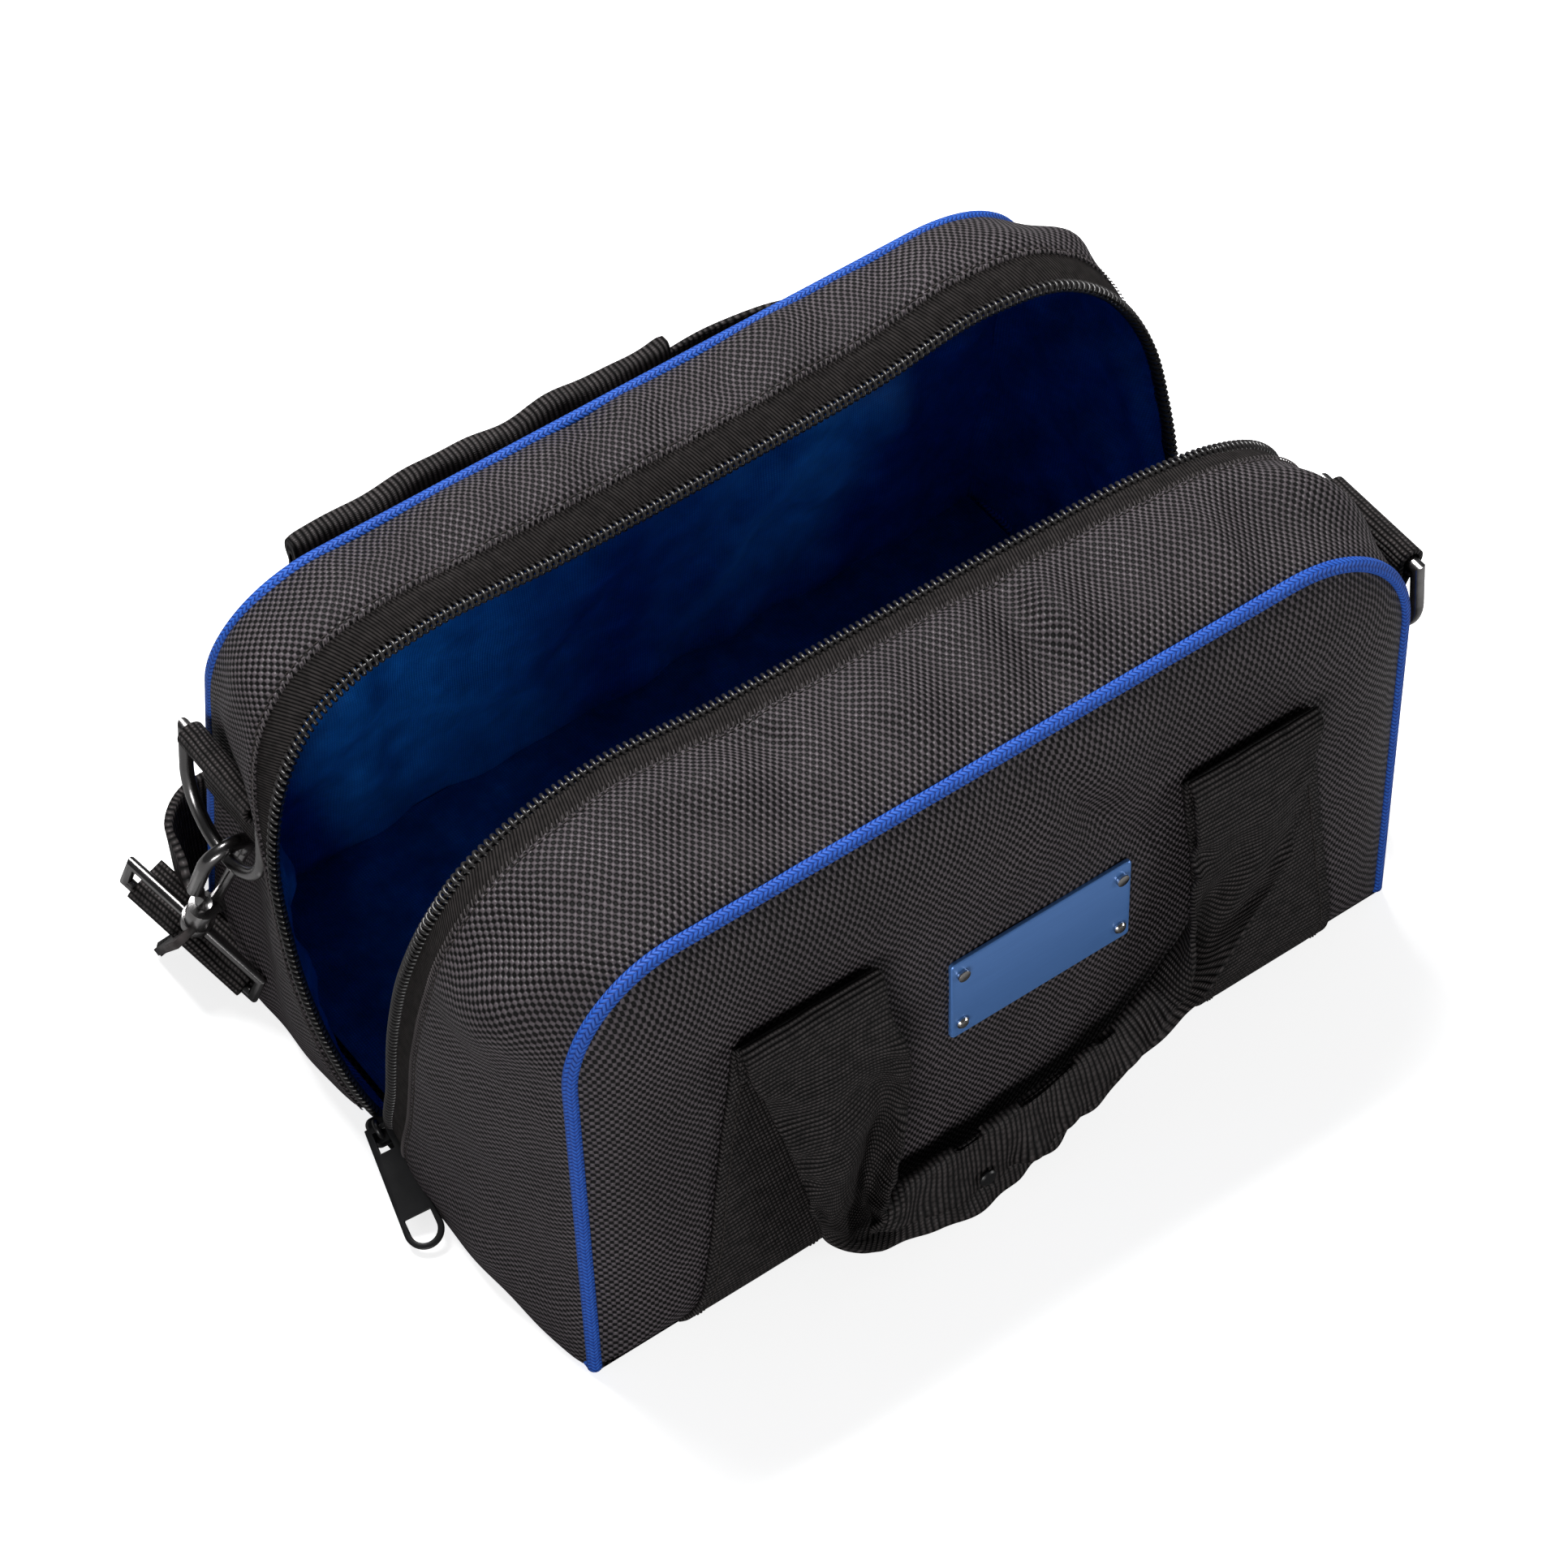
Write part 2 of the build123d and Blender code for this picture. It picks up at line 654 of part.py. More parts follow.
# --- shoulder strap ------------------------------------------------------------------------------
def strap_start(chain):
    """The way that the webbing leaves a loop, square to the loop's bar."""
    _, along = loop_bar(chain)
    return (chain.onward - along * chain.onward.dot(along)).normalized()


def strap_stations():
    """Middle of the webbing and the way its width points, from the left loop to the right one."""
    left, left_along = loop_bar(LEFT)
    right, right_along = loop_bar(RIGHT)
    rear = BASE_DEPTH / 2 + STRAP_REAR
    low = STRAP_WIDTH / 2 + CLEAR
    end = BODY_LENGTH / 2
    leave = left + strap_start(LEFT) * (STRAP_TAIL + 2.3) - left_along * STRAP_TAIL
    return [
        (Vector(leave.X, leave.Y, low - 2), unit(0.15, -0.50, -0.85)),
        (Vector(leave.X + 2.3, leave.Y + 13, low), unit(0, -0.20, -0.98)),
        (Vector(-end - 1, rear, low), unit(0, -0.05, -1)),
        (Vector(-end + STRAP_EASE, rear, low), unit(0, 0, -1)),
        (Vector(0, rear, low), unit(0, 0, -1)),
        (Vector(end - 8, rear, low), unit(0, 0, -1)),
        (Vector(end + STRAP_TURN[0][0], rear - STRAP_TURN[0][1], low), unit(0, 0, -1)),
        (Vector(end + STRAP_TURN[1][0], rear - STRAP_TURN[1][1], low), unit(0, 0, -1)),
        (Vector(end + STRAP_SIDE, 0, low), unit(0, -0.1, -1)),
        (right + Vector(1.8, 20, -15.2), unit(0, -0.55, -0.83)),
        (right + strap_start(RIGHT) * (STRAP_TAIL + 2), right_along),
    ]


def strap_planes():
    """Cross-section planes of the webbing: X along its width and Z along its run."""
    stations = strap_stations()
    planes = []
    for index, (centre, width) in enumerate(stations):
        before = stations[max(index - 1, 0)][0]
        after = stations[min(index + 1, len(stations) - 1)][0]
        travel = after - before
        travel = (travel - width * travel.dot(width)).normalized()
        planes.append(Plane(origin=centre, x_dir=width, z_dir=travel))
    return planes


def strap_nodes():
    planes = strap_planes()
    with BuildPart() as strap_webbing:
        for start, end in zip(planes, planes[1:]):
            with BuildSketch(start):
                Rectangle(STRAP_WIDTH, 2 * STRAP_T)
            with BuildSketch(end):
                Rectangle(STRAP_WIDTH, 2 * STRAP_T)
            loft(ruled=True)
    export(strap_webbing, "strap_webbing")

    length, depth, height = ADJUSTER
    middle = planes[4].origin.Z
    rear = planes[4].origin.Y
    with BuildPart() as strap_adjuster:
        with BuildSketch(Plane.YZ.offset(ADJUSTER_X)):
            with Locations((rear, middle)):
                RectangleRounded(depth, height, depth / 3)
                Rectangle(2 * STRAP_T + 2 * CLEAR, STRAP_WIDTH + 2 * CLEAR, mode=Mode.SUBTRACT)
        extrude(amount=length / 2, both=True)
        with BuildSketch(Plane.XZ.offset(-rear)):
            with Locations((ADJUSTER_X - length / 4, middle), (ADJUSTER_X + length / 4, middle)):
                Rectangle(length / 4, STRAP_WIDTH - 4)
        extrude(amount=depth, both=True, mode=Mode.SUBTRACT)
    export(strap_adjuster, "strap_adjuster")

    for chain, name in ((LEFT, "left"), (RIGHT, "right")):
        fold_node(chain, f"strap_fold_{name}")


def fold_node(chain, name):
    """Webbing folded around the lower bar of a loop."""
    bar, along = loop_bar(chain)
    onward = strap_start(chain)
    bore = LOOP_WIRE + CLEAR
    with BuildPart() as fold:
        with BuildSketch(Plane(origin=bar, x_dir=onward, z_dir=along)):
            Circle(bore + STRAP_T)
            with Locations((STRAP_TAIL / 2 - SEAT, 0)):
                Rectangle(STRAP_TAIL - 4 * SEAT, 2 * (bore + STRAP_T))
            Circle(bore, mode=Mode.SUBTRACT)
            with Locations((STRAP_TAIL, 0)):
                Rectangle(2 * STRAP_TAIL, 2 * bore, mode=Mode.SUBTRACT)
        extrude(amount=STRAP_WIDTH / 2, both=True)
    export(fold, name)


# --- zip slider and pull -------------------------------------------------------------------------
PULL_ALONG = unit(-0.153, -0.927, -0.342)
PULL_FACE = unit(-0.335, -0.277, 0.900)


def slider_plane():
    """Where the pull turns: X runs along the pull and Z is the slider's upper face's normal."""
    outer = end_face(FRONT, 0, ZIP_FOOT) + 0.85 * SLIDER_SIZE[1]
    return Plane(origin=(-outer, -5, 18), x_dir=PULL_ALONG, z_dir=PULL_FACE)


def slider_nodes():
    pivot = slider_plane()
    length, width, height = SLIDER_SIZE
    bridge_r = PULL_T / 2 + CLEAR + BRIDGE_R + CLEAR
    with BuildPart() as zip_slider:
        with BuildSketch(pivot.offset(-bridge_r)):
            RectangleRounded(length, width, 2.5)
        extrude(amount=-height)
        chamfer(zip_slider.faces().sort_by(Axis.Z)[0].edges(), 1)
        arc_plane = Plane(origin=pivot.origin, x_dir=pivot.x_dir, z_dir=pivot.y_dir * -1)
        with BuildLine(arc_plane) as bridge:
            Line((bridge_r, -bridge_r - 0.5), (bridge_r, 0))
            ThreePointArc((bridge_r, 0), (0, bridge_r), (-bridge_r, 0))
            Line((-bridge_r, 0), (-bridge_r, -bridge_r - 0.5))
        with BuildSketch(Plane(bridge.line @ 0, z_dir=bridge.line % 0)):
            Circle(BRIDGE_R)
        sweep(path=bridge.line)
    export(zip_slider, "zip_slider")

    with BuildPart() as zip_pull:
        with BuildSketch(pivot.offset(-PULL_T / 2)):
            with BuildLine():
                Polyline(
                    (PULL_LENGTH - PULL_WIDTH / 2, PULL_WIDTH / 2),
                    (-PULL_T / 2, PULL_NECK / 2),
                    (-PULL_T / 2, -PULL_NECK / 2),
                    (PULL_LENGTH - PULL_WIDTH / 2, -PULL_WIDTH / 2),
                )
                ThreePointArc(
                    (PULL_LENGTH - PULL_WIDTH / 2, -PULL_WIDTH / 2),
                    (PULL_LENGTH, 0),
                    (PULL_LENGTH - PULL_WIDTH / 2, PULL_WIDTH / 2),
                )
            make_face()
            with BuildLine():
                Polyline(
                    (PULL_T / 2, PULL_NECK / 2 - PULL_RIM),
                    (PULL_T / 2, -PULL_NECK / 2 + PULL_RIM),
                    (PULL_WINDOW, -PULL_NECK / 2 + PULL_RIM * 0.9),
                    (PULL_WINDOW, PULL_NECK / 2 - PULL_RIM * 0.9),
                    close=True,
                )
            make_face(mode=Mode.SUBTRACT)
            hole_r = PULL_WIDTH / 2 - PULL_RIM
            with BuildLine():
                hole_x = PULL_LENGTH - PULL_WIDTH / 2
                Polyline(
                    (hole_x, -hole_r),
                    (hole_x - PULL_HOLE_SIDE, -hole_r),
                    (hole_x - PULL_HOLE_SIDE, hole_r),
                    (hole_x, hole_r),
                )
                ThreePointArc((hole_x, hole_r), (hole_x + hole_r, 0), (hole_x, -hole_r))
            make_face(mode=Mode.SUBTRACT)
        extrude(amount=PULL_T)
    export(zip_pull, "zip_pull")


def stop_nodes():
    """Short tabs where the two tapes end, sewn across both ends of the zip."""
    inner = end_face(FRONT, 0, STOP[2]) + 2 * CLEAR
    with BuildPart() as zip_stops:
        with BuildSketch():
            with Locations((-inner - STOP[0] / 2, 0), (inner + STOP[0] / 2, 0)):
                Rectangle(STOP[0], STOP[1])
        extrude(amount=STOP[2])
    export(zip_stops, "zip_stops")


def all_nodes():
    base_nodes()
    for half, name in ((FRONT, "front"), (BACK, "back")):
        panel_nodes(half, name)
        gusset_nodes(half, name)
        piping_node(half, name)
    plate_nodes()
    for side, name in ((-1, "left"), (1, "right")):
        leg_node(FRONT, side, FRONT_LEG_TOP, f"front_leg_{name}")
        leg_node(BACK, -side, BACK_LEG_TOP, f"back_leg_{name}")
    front_handle_nodes()
    back_handle_nodes()
    for chain, name in ((LEFT, "left"), (RIGHT, "right")):
        tab_node(chain.side, chain.place, f"ring_tab_{name}")
        ring_node(chain.side, chain.place, f"d_ring_{name}")
        hook_node(chain, f"snap_hook_{name}")
        gate_node(chain, f"hook_gate_{name}")
        loop_node(chain, f"strap_loop_{name}")
    strap_nodes()
    slider_nodes()
    stop_nodes()


all_nodes()
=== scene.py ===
"""Soft zip carry bag, standing open. Shapes are in millimetres here and become metres in mesh_of."""

import json
import math

import bpy
import numpy as np
from mathutils import Matrix, Vector

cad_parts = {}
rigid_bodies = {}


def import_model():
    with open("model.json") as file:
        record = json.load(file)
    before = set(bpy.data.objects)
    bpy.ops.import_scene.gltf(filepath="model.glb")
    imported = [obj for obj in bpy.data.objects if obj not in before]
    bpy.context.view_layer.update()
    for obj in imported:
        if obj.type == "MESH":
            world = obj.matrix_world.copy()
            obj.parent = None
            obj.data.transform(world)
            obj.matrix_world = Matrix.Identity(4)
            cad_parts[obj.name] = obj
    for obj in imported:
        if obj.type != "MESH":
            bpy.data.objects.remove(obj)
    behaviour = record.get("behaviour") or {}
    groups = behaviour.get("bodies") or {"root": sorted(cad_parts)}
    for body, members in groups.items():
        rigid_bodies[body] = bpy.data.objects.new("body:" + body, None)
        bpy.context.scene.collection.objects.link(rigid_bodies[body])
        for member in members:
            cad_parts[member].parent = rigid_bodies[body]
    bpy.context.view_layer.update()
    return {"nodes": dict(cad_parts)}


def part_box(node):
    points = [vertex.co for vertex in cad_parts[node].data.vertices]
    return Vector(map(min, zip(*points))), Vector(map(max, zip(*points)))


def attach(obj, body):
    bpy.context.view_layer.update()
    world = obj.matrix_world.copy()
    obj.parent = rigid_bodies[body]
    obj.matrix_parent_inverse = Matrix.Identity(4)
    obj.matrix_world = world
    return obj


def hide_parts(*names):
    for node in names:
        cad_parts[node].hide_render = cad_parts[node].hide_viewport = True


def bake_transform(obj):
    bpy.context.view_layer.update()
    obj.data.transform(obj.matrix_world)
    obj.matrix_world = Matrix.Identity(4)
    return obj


for thing in list(bpy.data.objects):
    bpy.data.objects.remove(thing)
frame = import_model()
nodes = frame["nodes"]

X, Y, Z = np.eye(3)

# Sizes in millimetres
HALF_DEPTH = 109.0  # middle of the base to the foot of a panel
SEAM_SIDE = 156.1  # middle of the bag to the sides of a panel's seam
SEAM_TOP = 182.1  # up the panel
SEAM_FOOT = 2.0
CLOTH_END = 13.2  # from the edge of the gusset's cloth to the lip
WALL_T = 3.4  # gusset cloth with its foam
PIPING_R = 2.4
BASE_PIPING_R = 2.15
LINING_SIDE = 152  # middle of the bag to the lining at its ends
LINING_BEND = 138  # height at which the lining's upper corners begin
HALF_WEBBING = 25  # half the width of the handle webbing
RAIL = 8  # a line inside the webbing, from its middle
LEG_FOOT_X, LEG_TOP_X = 101, 83
LEG_FOOT = 6
FRONT_LEG_TOP, BACK_LEG_TOP = 138.5, 91.0
GRIP_ENDS = (-52, 46)
STITCH_LIFT = 0.05
TAB_ROLL = 5.1  # middle of a ring's bar, in from the edges of its tab
RING_LEAN = 5  # degrees
RING_DROP = 39.0  # from a ring's bar to its bow
CHAIN_LENGTH = 70.4  # from a ring's bow to the lower bar of the loop
HALF_STRAP = 24
FOLD_R = 3.7  # webbing round a loop's bar
CAMERA_TURN = (35.4, 51.2, -0.9)  # yaw, pitch and roll in degrees
CAMERA_AIM = (26.57, 42.97, 0.0)
CAMERA_AWAY = 1747.2
CAMERA_LENS, CAMERA_SENSOR = 119.8, 36


# --- lines and meshes
def unit(v):
    v = np.asarray(v, float)
    return v / np.maximum(np.linalg.norm(v, axis=-1, keepdims=True), 1e-9)


def ramp(value, low, high):
    """0 below low, 1 above high, smooth in between."""
    t = np.clip((value - low) / (high - low), 0, 1)
    return t * t * (3 - 2 * t)


def lengths(line):
    """Distance along a line at each of its points."""
    return np.concatenate([[0], np.cumsum(np.linalg.norm(np.diff(line, axis=0), axis=1))])


def read(at, s, values):
    """Rows of values that are known at s, read at other places."""
    return np.stack([np.interp(at, s, values[:, k]) for k in range(values.shape[1])], -1)


def even(line, count):
    """The line's points again, evenly spaced."""
    s = lengths(line)
    return read(np.linspace(0, s[-1], count), s, line)


def hermite(values, knots, at):
    """Values known at the knots, read smoothly at other places."""
    slope = np.gradient(values, knots, axis=0)
    i = np.clip(np.searchsorted(knots, at, "right") - 1, 0, len(knots) - 2)
    shape = (-1,) + (1,) * (values.ndim - 1)
    h = (knots[i + 1] - knots[i]).reshape(shape)
    f = (at - knots[i]).reshape(shape) / h
    before = (2 * f**3 - 3 * f**2 + 1) * values[i] + (f**3 - 2 * f**2 + f) * h * slope[i]
    after = (3 * f**2 - 2 * f**3) * values[i + 1] + (f**3 - f**2) * h * slope[i + 1]
    return before + after


def smooth(knots, count):
    """Evenly spaced points on a smooth line through the knots."""
    knots = np.asarray(knots, float)
    t = lengths(knots)
    return even(hermite(knots, t, np.linspace(0, t[-1], 30 * len(knots))), count)


def waves(u, v, shortest, longest, seed, count=14):
    """Gentle unevenness of hand-sewn cloth: a sum of waves that is the same each time."""
    rng = np.random.default_rng(seed)
    total = np.zeros(np.broadcast(u, v).shape)
    for _ in range(count):
        pitch = shortest * (longest / shortest) ** rng.random()
        turn, phase = rng.random(2) * math.tau
        total = total + np.sin(math.tau / pitch * (u * math.cos(turn) + v * math.sin(turn)) + phase)
    return total / math.sqrt(count / 2)


def grid(points, uv, out, wrap=False):
    """Quads over rows and columns of points, facing out."""
    rows, cols = points.shape[:2]
    out = np.broadcast_to(out, points.shape)
    i, j = np.indices((rows - 1, cols if wrap else cols - 1))
    k = (j + 1) % cols
    quads = np.stack([i * cols + j, (i + 1) * cols + j, (i + 1) * cols + k, i * cols + k], -1)
    corners = np.stack([uv[i, j], uv[i + 1, j], uv[i + 1, j + 1], uv[i, j + 1]], -2)
    facing = np.cross(points[i + 1, k] - points[i, j], points[i, k] - points[i + 1, j])
    if (facing * out[i, j]).sum() < 0:
        quads, corners = quads[..., ::-1], corners[..., ::-1, :]
    return points.reshape(-1, 3), quads.reshape(-1, 4), corners.reshape(-1, 4, 2)


def add(name, data):
    thing = bpy.data.objects.new(name, data)
    bpy.context.scene.collection.objects.link(thing)
    return thing


def mesh_of(name, parts, material):
    """One mesh object out of grids."""
    start, points, quads, corners = 0, [], [], []
    for p, q, c in parts:
        points.append(p)
        quads.append(q + start)
        corners.append(c)
        start += len(p)
    points = np.concatenate(points) * 0.001
    quads, corners = np.concatenate(quads), np.concatenate(corners) * 0.001
    mesh = bpy.data.meshes.new(name)
    mesh.vertices.add(len(points))
    mesh.vertices.foreach_set("co", points.astype(np.float32).ravel())
    mesh.loops.add(quads.size)
    mesh.loops.foreach_set("vertex_index", quads.astype(np.int32).ravel())
    mesh.polygons.add(len(quads))
    mesh.polygons.foreach_set("loop_start", np.arange(0, quads.size, 4, dtype=np.int32))
    mesh.polygons.foreach_set("use_smooth", np.full(len(quads), True))
    layer = mesh.uv_layers.new(name="UVMap")
    layer.data.foreach_set("uv", corners.astype(np.float32).ravel())
    mesh.update(calc_edges=True)
    mesh.validate()
    mesh.materials.append(material)
    return add(name, mesh)


def together(*axes):
    """Points whose coordinates are given apart and broadcast to each other."""
    return np.stack(np.broadcast_arrays(*axes), -1)


def lie(rows, cols):
    """uv in millimetres from distances along and across."""
    return together(rows[:, None], cols[None, :])


def normals(points):
    return unit(np.cross(np.gradient(points, axis=0), np.gradient(points, axis=1)))


def band(points, uv, thick, out):
    """Closed strip: points are its outer face and out the way that face looks."""
    n = normals(points)
    if (n * out).sum() < 0:
        n = -n
    inner = points - n * (thick if np.isscalar(thick) else thick[..., None])
    ring = np.concatenate([points, inner[:, ::-1]], 1)
    facing = np.concatenate([n, -n[:, ::-1]], 1)
    seam = uv[:, :1].copy()
    ring_uv = np.concatenate([uv, uv[:, ::-1], seam], 1)
    parts = [grid(ring, ring_uv, facing, wrap=True)]
    for row, away in ((0, points[0] - points[1]), (-1, points[-1] - points[-2])):
        end = np.stack([points[row], inner[row]])
        parts.append(grid(end, np.stack([uv[row], uv[row]]), away))
    return parts


def tube(path, radius, reference, sides=12, closed=True):
    """Round cord along a path. uv is distance along and around."""
    path = np.asarray(path, float)
    radius = np.broadcast_to(np.asarray(radius, float), (len(path),)).copy()
    ahead = unit(np.gradient(path, axis=0))
    side = unit(np.cross(ahead, reference))
    lift = np.cross(side, ahead)
    s = lengths(path)
    if closed:
        path, s = (np.concatenate([a[:1], a, a[-1:]]) for a in (path, s))
        side, lift = (np.concatenate([a[:1], a, a[-1:]]) for a in (side, lift))
        radius = np.concatenate([[0.01], radius, [0.01]])
    turn = np.arange(sides) * math.tau / sides
    away = np.cos(turn)[None, :, None] * side[:, None] + np.sin(turn)[None, :, None] * lift[:, None]
    points = path[:, None] + away * radius[:, None, None]
    around = np.arange(sides + 1) * math.tau / sides * radius.max()
    return grid(points, lie(s, around), away, wrap=True)


def copies(part, places, axes):
    """The same small part at many places. axes are its three directions at each place."""
    p, q, c = part
    points = places[:, None] + np.einsum("pk,nkd->npd", p, axes)
    steps = np.arange(len(places)) * len(p)
    quads = (q[None] + steps[:, None, None]).reshape(-1, 4)
    return points.reshape(-1, 3), quads, np.tile(c, (len(places), 1, 1))


# --- materials
class Finish:
    """A material written as sums of the surface's own coordinates."""

    def __init__(self, name, **shader):
        self.material = bpy.data.materials.new(name)
        self.material.use_nodes = True
        self.tree = self.material.node_tree
        self.tree.nodes.clear()
        self.shader = self.tree.nodes.new("ShaderNodeBsdfPrincipled")
        end = self.tree.nodes.new("ShaderNodeOutputMaterial")
        self.tree.links.new(self.shader.outputs[0], end.inputs[0])
        for key, value in shader.items():
            self.shader.inputs[key.replace("_", " ")].default_value = value

    def put(self, kind, **inputs):
        node = self.tree.nodes.new(kind)
        for key, value in inputs.items():
            self.join(node.inputs[key.replace("_", " ")], value)
        return node

    def join(self, socket, value):
        if isinstance(value, bpy.types.NodeSocket):
            self.tree.links.new(value, socket)
        else:
            socket.default_value = value

    def do(self, operation, *values):
        node = self.tree.nodes.new("ShaderNodeMath")
        node.operation = operation
        for socket, value in zip(node.inputs, values):
            self.join(socket, value)
        return node.outputs[0]

    def line(self, value, slope, start):
        return self.do("ADD", self.do("MULTIPLY", value, slope), start)

    def ridges(self, phase):
        """Rounded ridges from 0 to 1, one for each half turn of the phase."""
        return self.do("ABSOLUTE", self.do("SINE", phase))

    def uv(self):
        node = self.put("ShaderNodeUVMap")
        split = self.put("ShaderNodeSeparateXYZ", Vector=node.outputs[0])
        return split.outputs[0], split.outputs[1]

    def place(self):
        return self.put("ShaderNodeTexCoord").outputs["Object"]

    def noise(self, scale, detail=2.0, vector=None, rough=0.5):
        inputs = {"Vector": vector or self.place(), "Scale": scale, "Detail": detail}
        return self.put("ShaderNodeTexNoise", **inputs, Roughness=rough).outputs["Fac"]

    def ramp(self, value, *stops):
        """Colour by value: stops are (position, colour)."""
        node = self.put("ShaderNodeValToRGB", Fac=value)
        marks = node.color_ramp.elements
        while len(marks) < len(stops):
            marks.new(0.5)
        for mark, (at, colour) in zip(marks, stops):
            mark.position = at
            mark.color = (*colour, 1)
        return node.outputs[0]

    def blend(self, share, a, b):
        node = self.tree.nodes.new("ShaderNodeMix")
        node.data_type = "RGBA"
        self.join(node.inputs[0], share)
        for socket, value in ((node.inputs[6], a), (node.inputs[7], b)):
            self.join(socket, (*value, 1) if isinstance(value, tuple) else value)
        return node.outputs[2]

    def colour(self, value):
        self.join(self.shader.inputs["Base Color"], value)

    def rough(self, value):
        self.join(self.shader.inputs["Roughness"], value)

    def bump(self, height, depth):
        """Height from 0 to 1 becomes relief of that depth, in millimetres."""
        node = self.put("ShaderNodeBump", Height=height, Distance=depth * 0.001, Strength=1.0)
        self.tree.links.new(node.outputs[0], self.shader.inputs["Normal"])


def span(f, value, low, high):
    """value from low..high to 0..1."""
    return f.put("ShaderNodeMapRange", Value=value, From_Min=low, From_Max=high).outputs[0]


def woven(name, light, dark, pitch=(1.18, 1.62), relief=0.5):
    """Ballistic weave of black filament yarn in staggered rows: the lighter floats are a painted sheen of the
    lit yarns, and the dark between them is the black yarn with painted shade in its gaps.
    """
    f = Finish(name, Specular_IOR_Level=0.22)
    u, v = f.uv()
    drift = f.do("MULTIPLY", f.do("SUBTRACT", f.noise(55.0), 0.5), 0.0022)
    u = f.do("DIVIDE", f.do("ADD", u, drift), pitch[0] * 0.001 / math.pi)
    v = f.do("DIVIDE", f.do("ADD", v, drift), pitch[1] * 0.001 / math.pi)
    lobes = f.do("MULTIPLY", f.do("SINE", u), f.do("SINE", v))
    height = span(f, lobes, -0.55, 0.85)
    uneven = f.line(f.noise(430.0), 0.9, 0.55)
    # painted sheen and shade: the colour is light on the floats and near black in the gaps
    painted_highlight = f.do("MULTIPLY", span(f, lobes, -0.36, 0.38), uneven)
    middle = tuple(0.35 * a + 0.65 * b for a, b in zip(light, dark))
    base = f.ramp(painted_highlight, (0.12, dark), (0.5, middle), (1.0, light))
    patch = span(f, f.noise(16.0, 3.0), 0.3, 0.75)
    f.colour(f.blend(f.do("MULTIPLY", patch, 0.3), base, dark))
    f.rough(f.do("SUBTRACT", 0.66, f.do("MULTIPLY", painted_highlight, 0.26)))
    f.bump(height, relief)
    return f.material


def ribbed(name, light, dark, rib=1.9, pick=1.4, relief=0.8, broken=0.4):
    """Webbing: ribs across the strap, each broken into short picks of twisted yarn."""
    f = Finish(name, Specular_IOR_Level=0.22)
    u, v = f.uv()
    drift = f.do("MULTIPLY", f.do("SUBTRACT", f.noise(70.0), 0.5), 0.0014)
    rows = f.do("DIVIDE", f.do("ADD", u, drift), rib * 0.001)
    cell = f.do("FLOOR", rows)
    picks = f.do("ADD", f.do("DIVIDE", v, pick * 0.001), f.do("MULTIPLY", f.do("MODULO", cell, 2.0), 0.5))
    ridge = f.ridges(f.do("MULTIPLY", rows, math.pi))
    knot = f.ridges(f.do("MULTIPLY", picks, math.pi))
    height = f.do("MULTIPLY", f.do("POWER", ridge, 0.8), f.line(knot, broken, 1.0 - broken))
    # painted highlight on the rib tops and painted shade between the ribs of the black webbing
    painted_highlight = f.do("MULTIPLY", height, f.line(f.noise(300.0), 0.9, 0.5))
    middle = tuple(0.3 * a + 0.7 * b for a, b in zip(light, dark))
    f.colour(f.ramp(painted_highlight, (0.3, dark), (0.62, middle), (1.0, light)))
    f.rough(f.do("SUBTRACT", 0.78, f.do("MULTIPLY", painted_highlight, 0.34)))
    f.bump(height, relief)
    return f.material


def braided(name):
    """Piping: a round cord under a braid of chevrons."""
    f = Finish(name, Specular_IOR_Level=0.3)
    u, v = f.uv()
    chevron, pitch = 0.00157, 0.00175
    lean = f.do("PINGPONG", f.do("DIVIDE", v, chevron), 1.0)
    turns = f.do("ADD", f.do("DIVIDE", u, pitch), f.do("MULTIPLY", lean, 0.75))
    strand = f.ridges(f.do("MULTIPLY", turns, math.pi))
    edge = f.ridges(f.do("MULTIPLY", f.do("DIVIDE", v, chevron), math.pi))
    height = f.do("MULTIPLY", f.do("POWER", strand, 0.6), f.line(edge, 0.3, 0.7))
    # painted highlight on the strand tops and painted shade in the braid's grooves, with some random
    # variation
    painted_light_and_tone = f.do("MULTIPLY", height, f.line(f.noise(260.0), 0.5, 0.72))
    deep, blue, painted_highlight_blue = (0.004, 0.022, 0.17), (0.016, 0.085, 0.46), (0.035, 0.15, 0.64)
    f.colour(f.ramp(painted_light_and_tone, (0.15, deep), (0.6, blue), (1.0, painted_highlight_blue)))
    f.rough(0.55)
    f.bump(height, 0.3)
    return f.material


def satin(name):
    """Lining: thin royal-blue nylon with a fine ripstop grain."""
    f = Finish(name, Specular_IOR_Level=0.35)
    u, v = f.uv()
    threads = [f.ridges(f.do("DIVIDE", axis, 0.0009 / math.pi)) for axis in (u, v)]
    grain = f.do("MULTIPLY", *threads)
    crush = f.noise(85.0, 4.0, rough=0.6)
    # painted sheen: the blue is lighter where the crumples rise and darker in their hollows, over the ripstop
    # grain
    painted_light_and_tone = f.do("ADD", f.do("MULTIPLY", crush, 0.8), f.do("MULTIPLY", grain, 0.25))
    deep, blue, painted_highlight_blue = (0.001, 0.050, 0.20), (0.003, 0.110, 0.42), (0.012, 0.24, 0.80)
    f.colour(f.ramp(painted_light_and_tone, (0.25, deep), (0.62, blue), (0.95, painted_highlight_blue)))
    f.rough(f.do("ADD", 0.33, f.do("MULTIPLY", crush, 0.2)))
    f.bump(f.do("ADD", f.do("MULTIPLY", grain, 0.12), crush), 0.7)
    return f.material


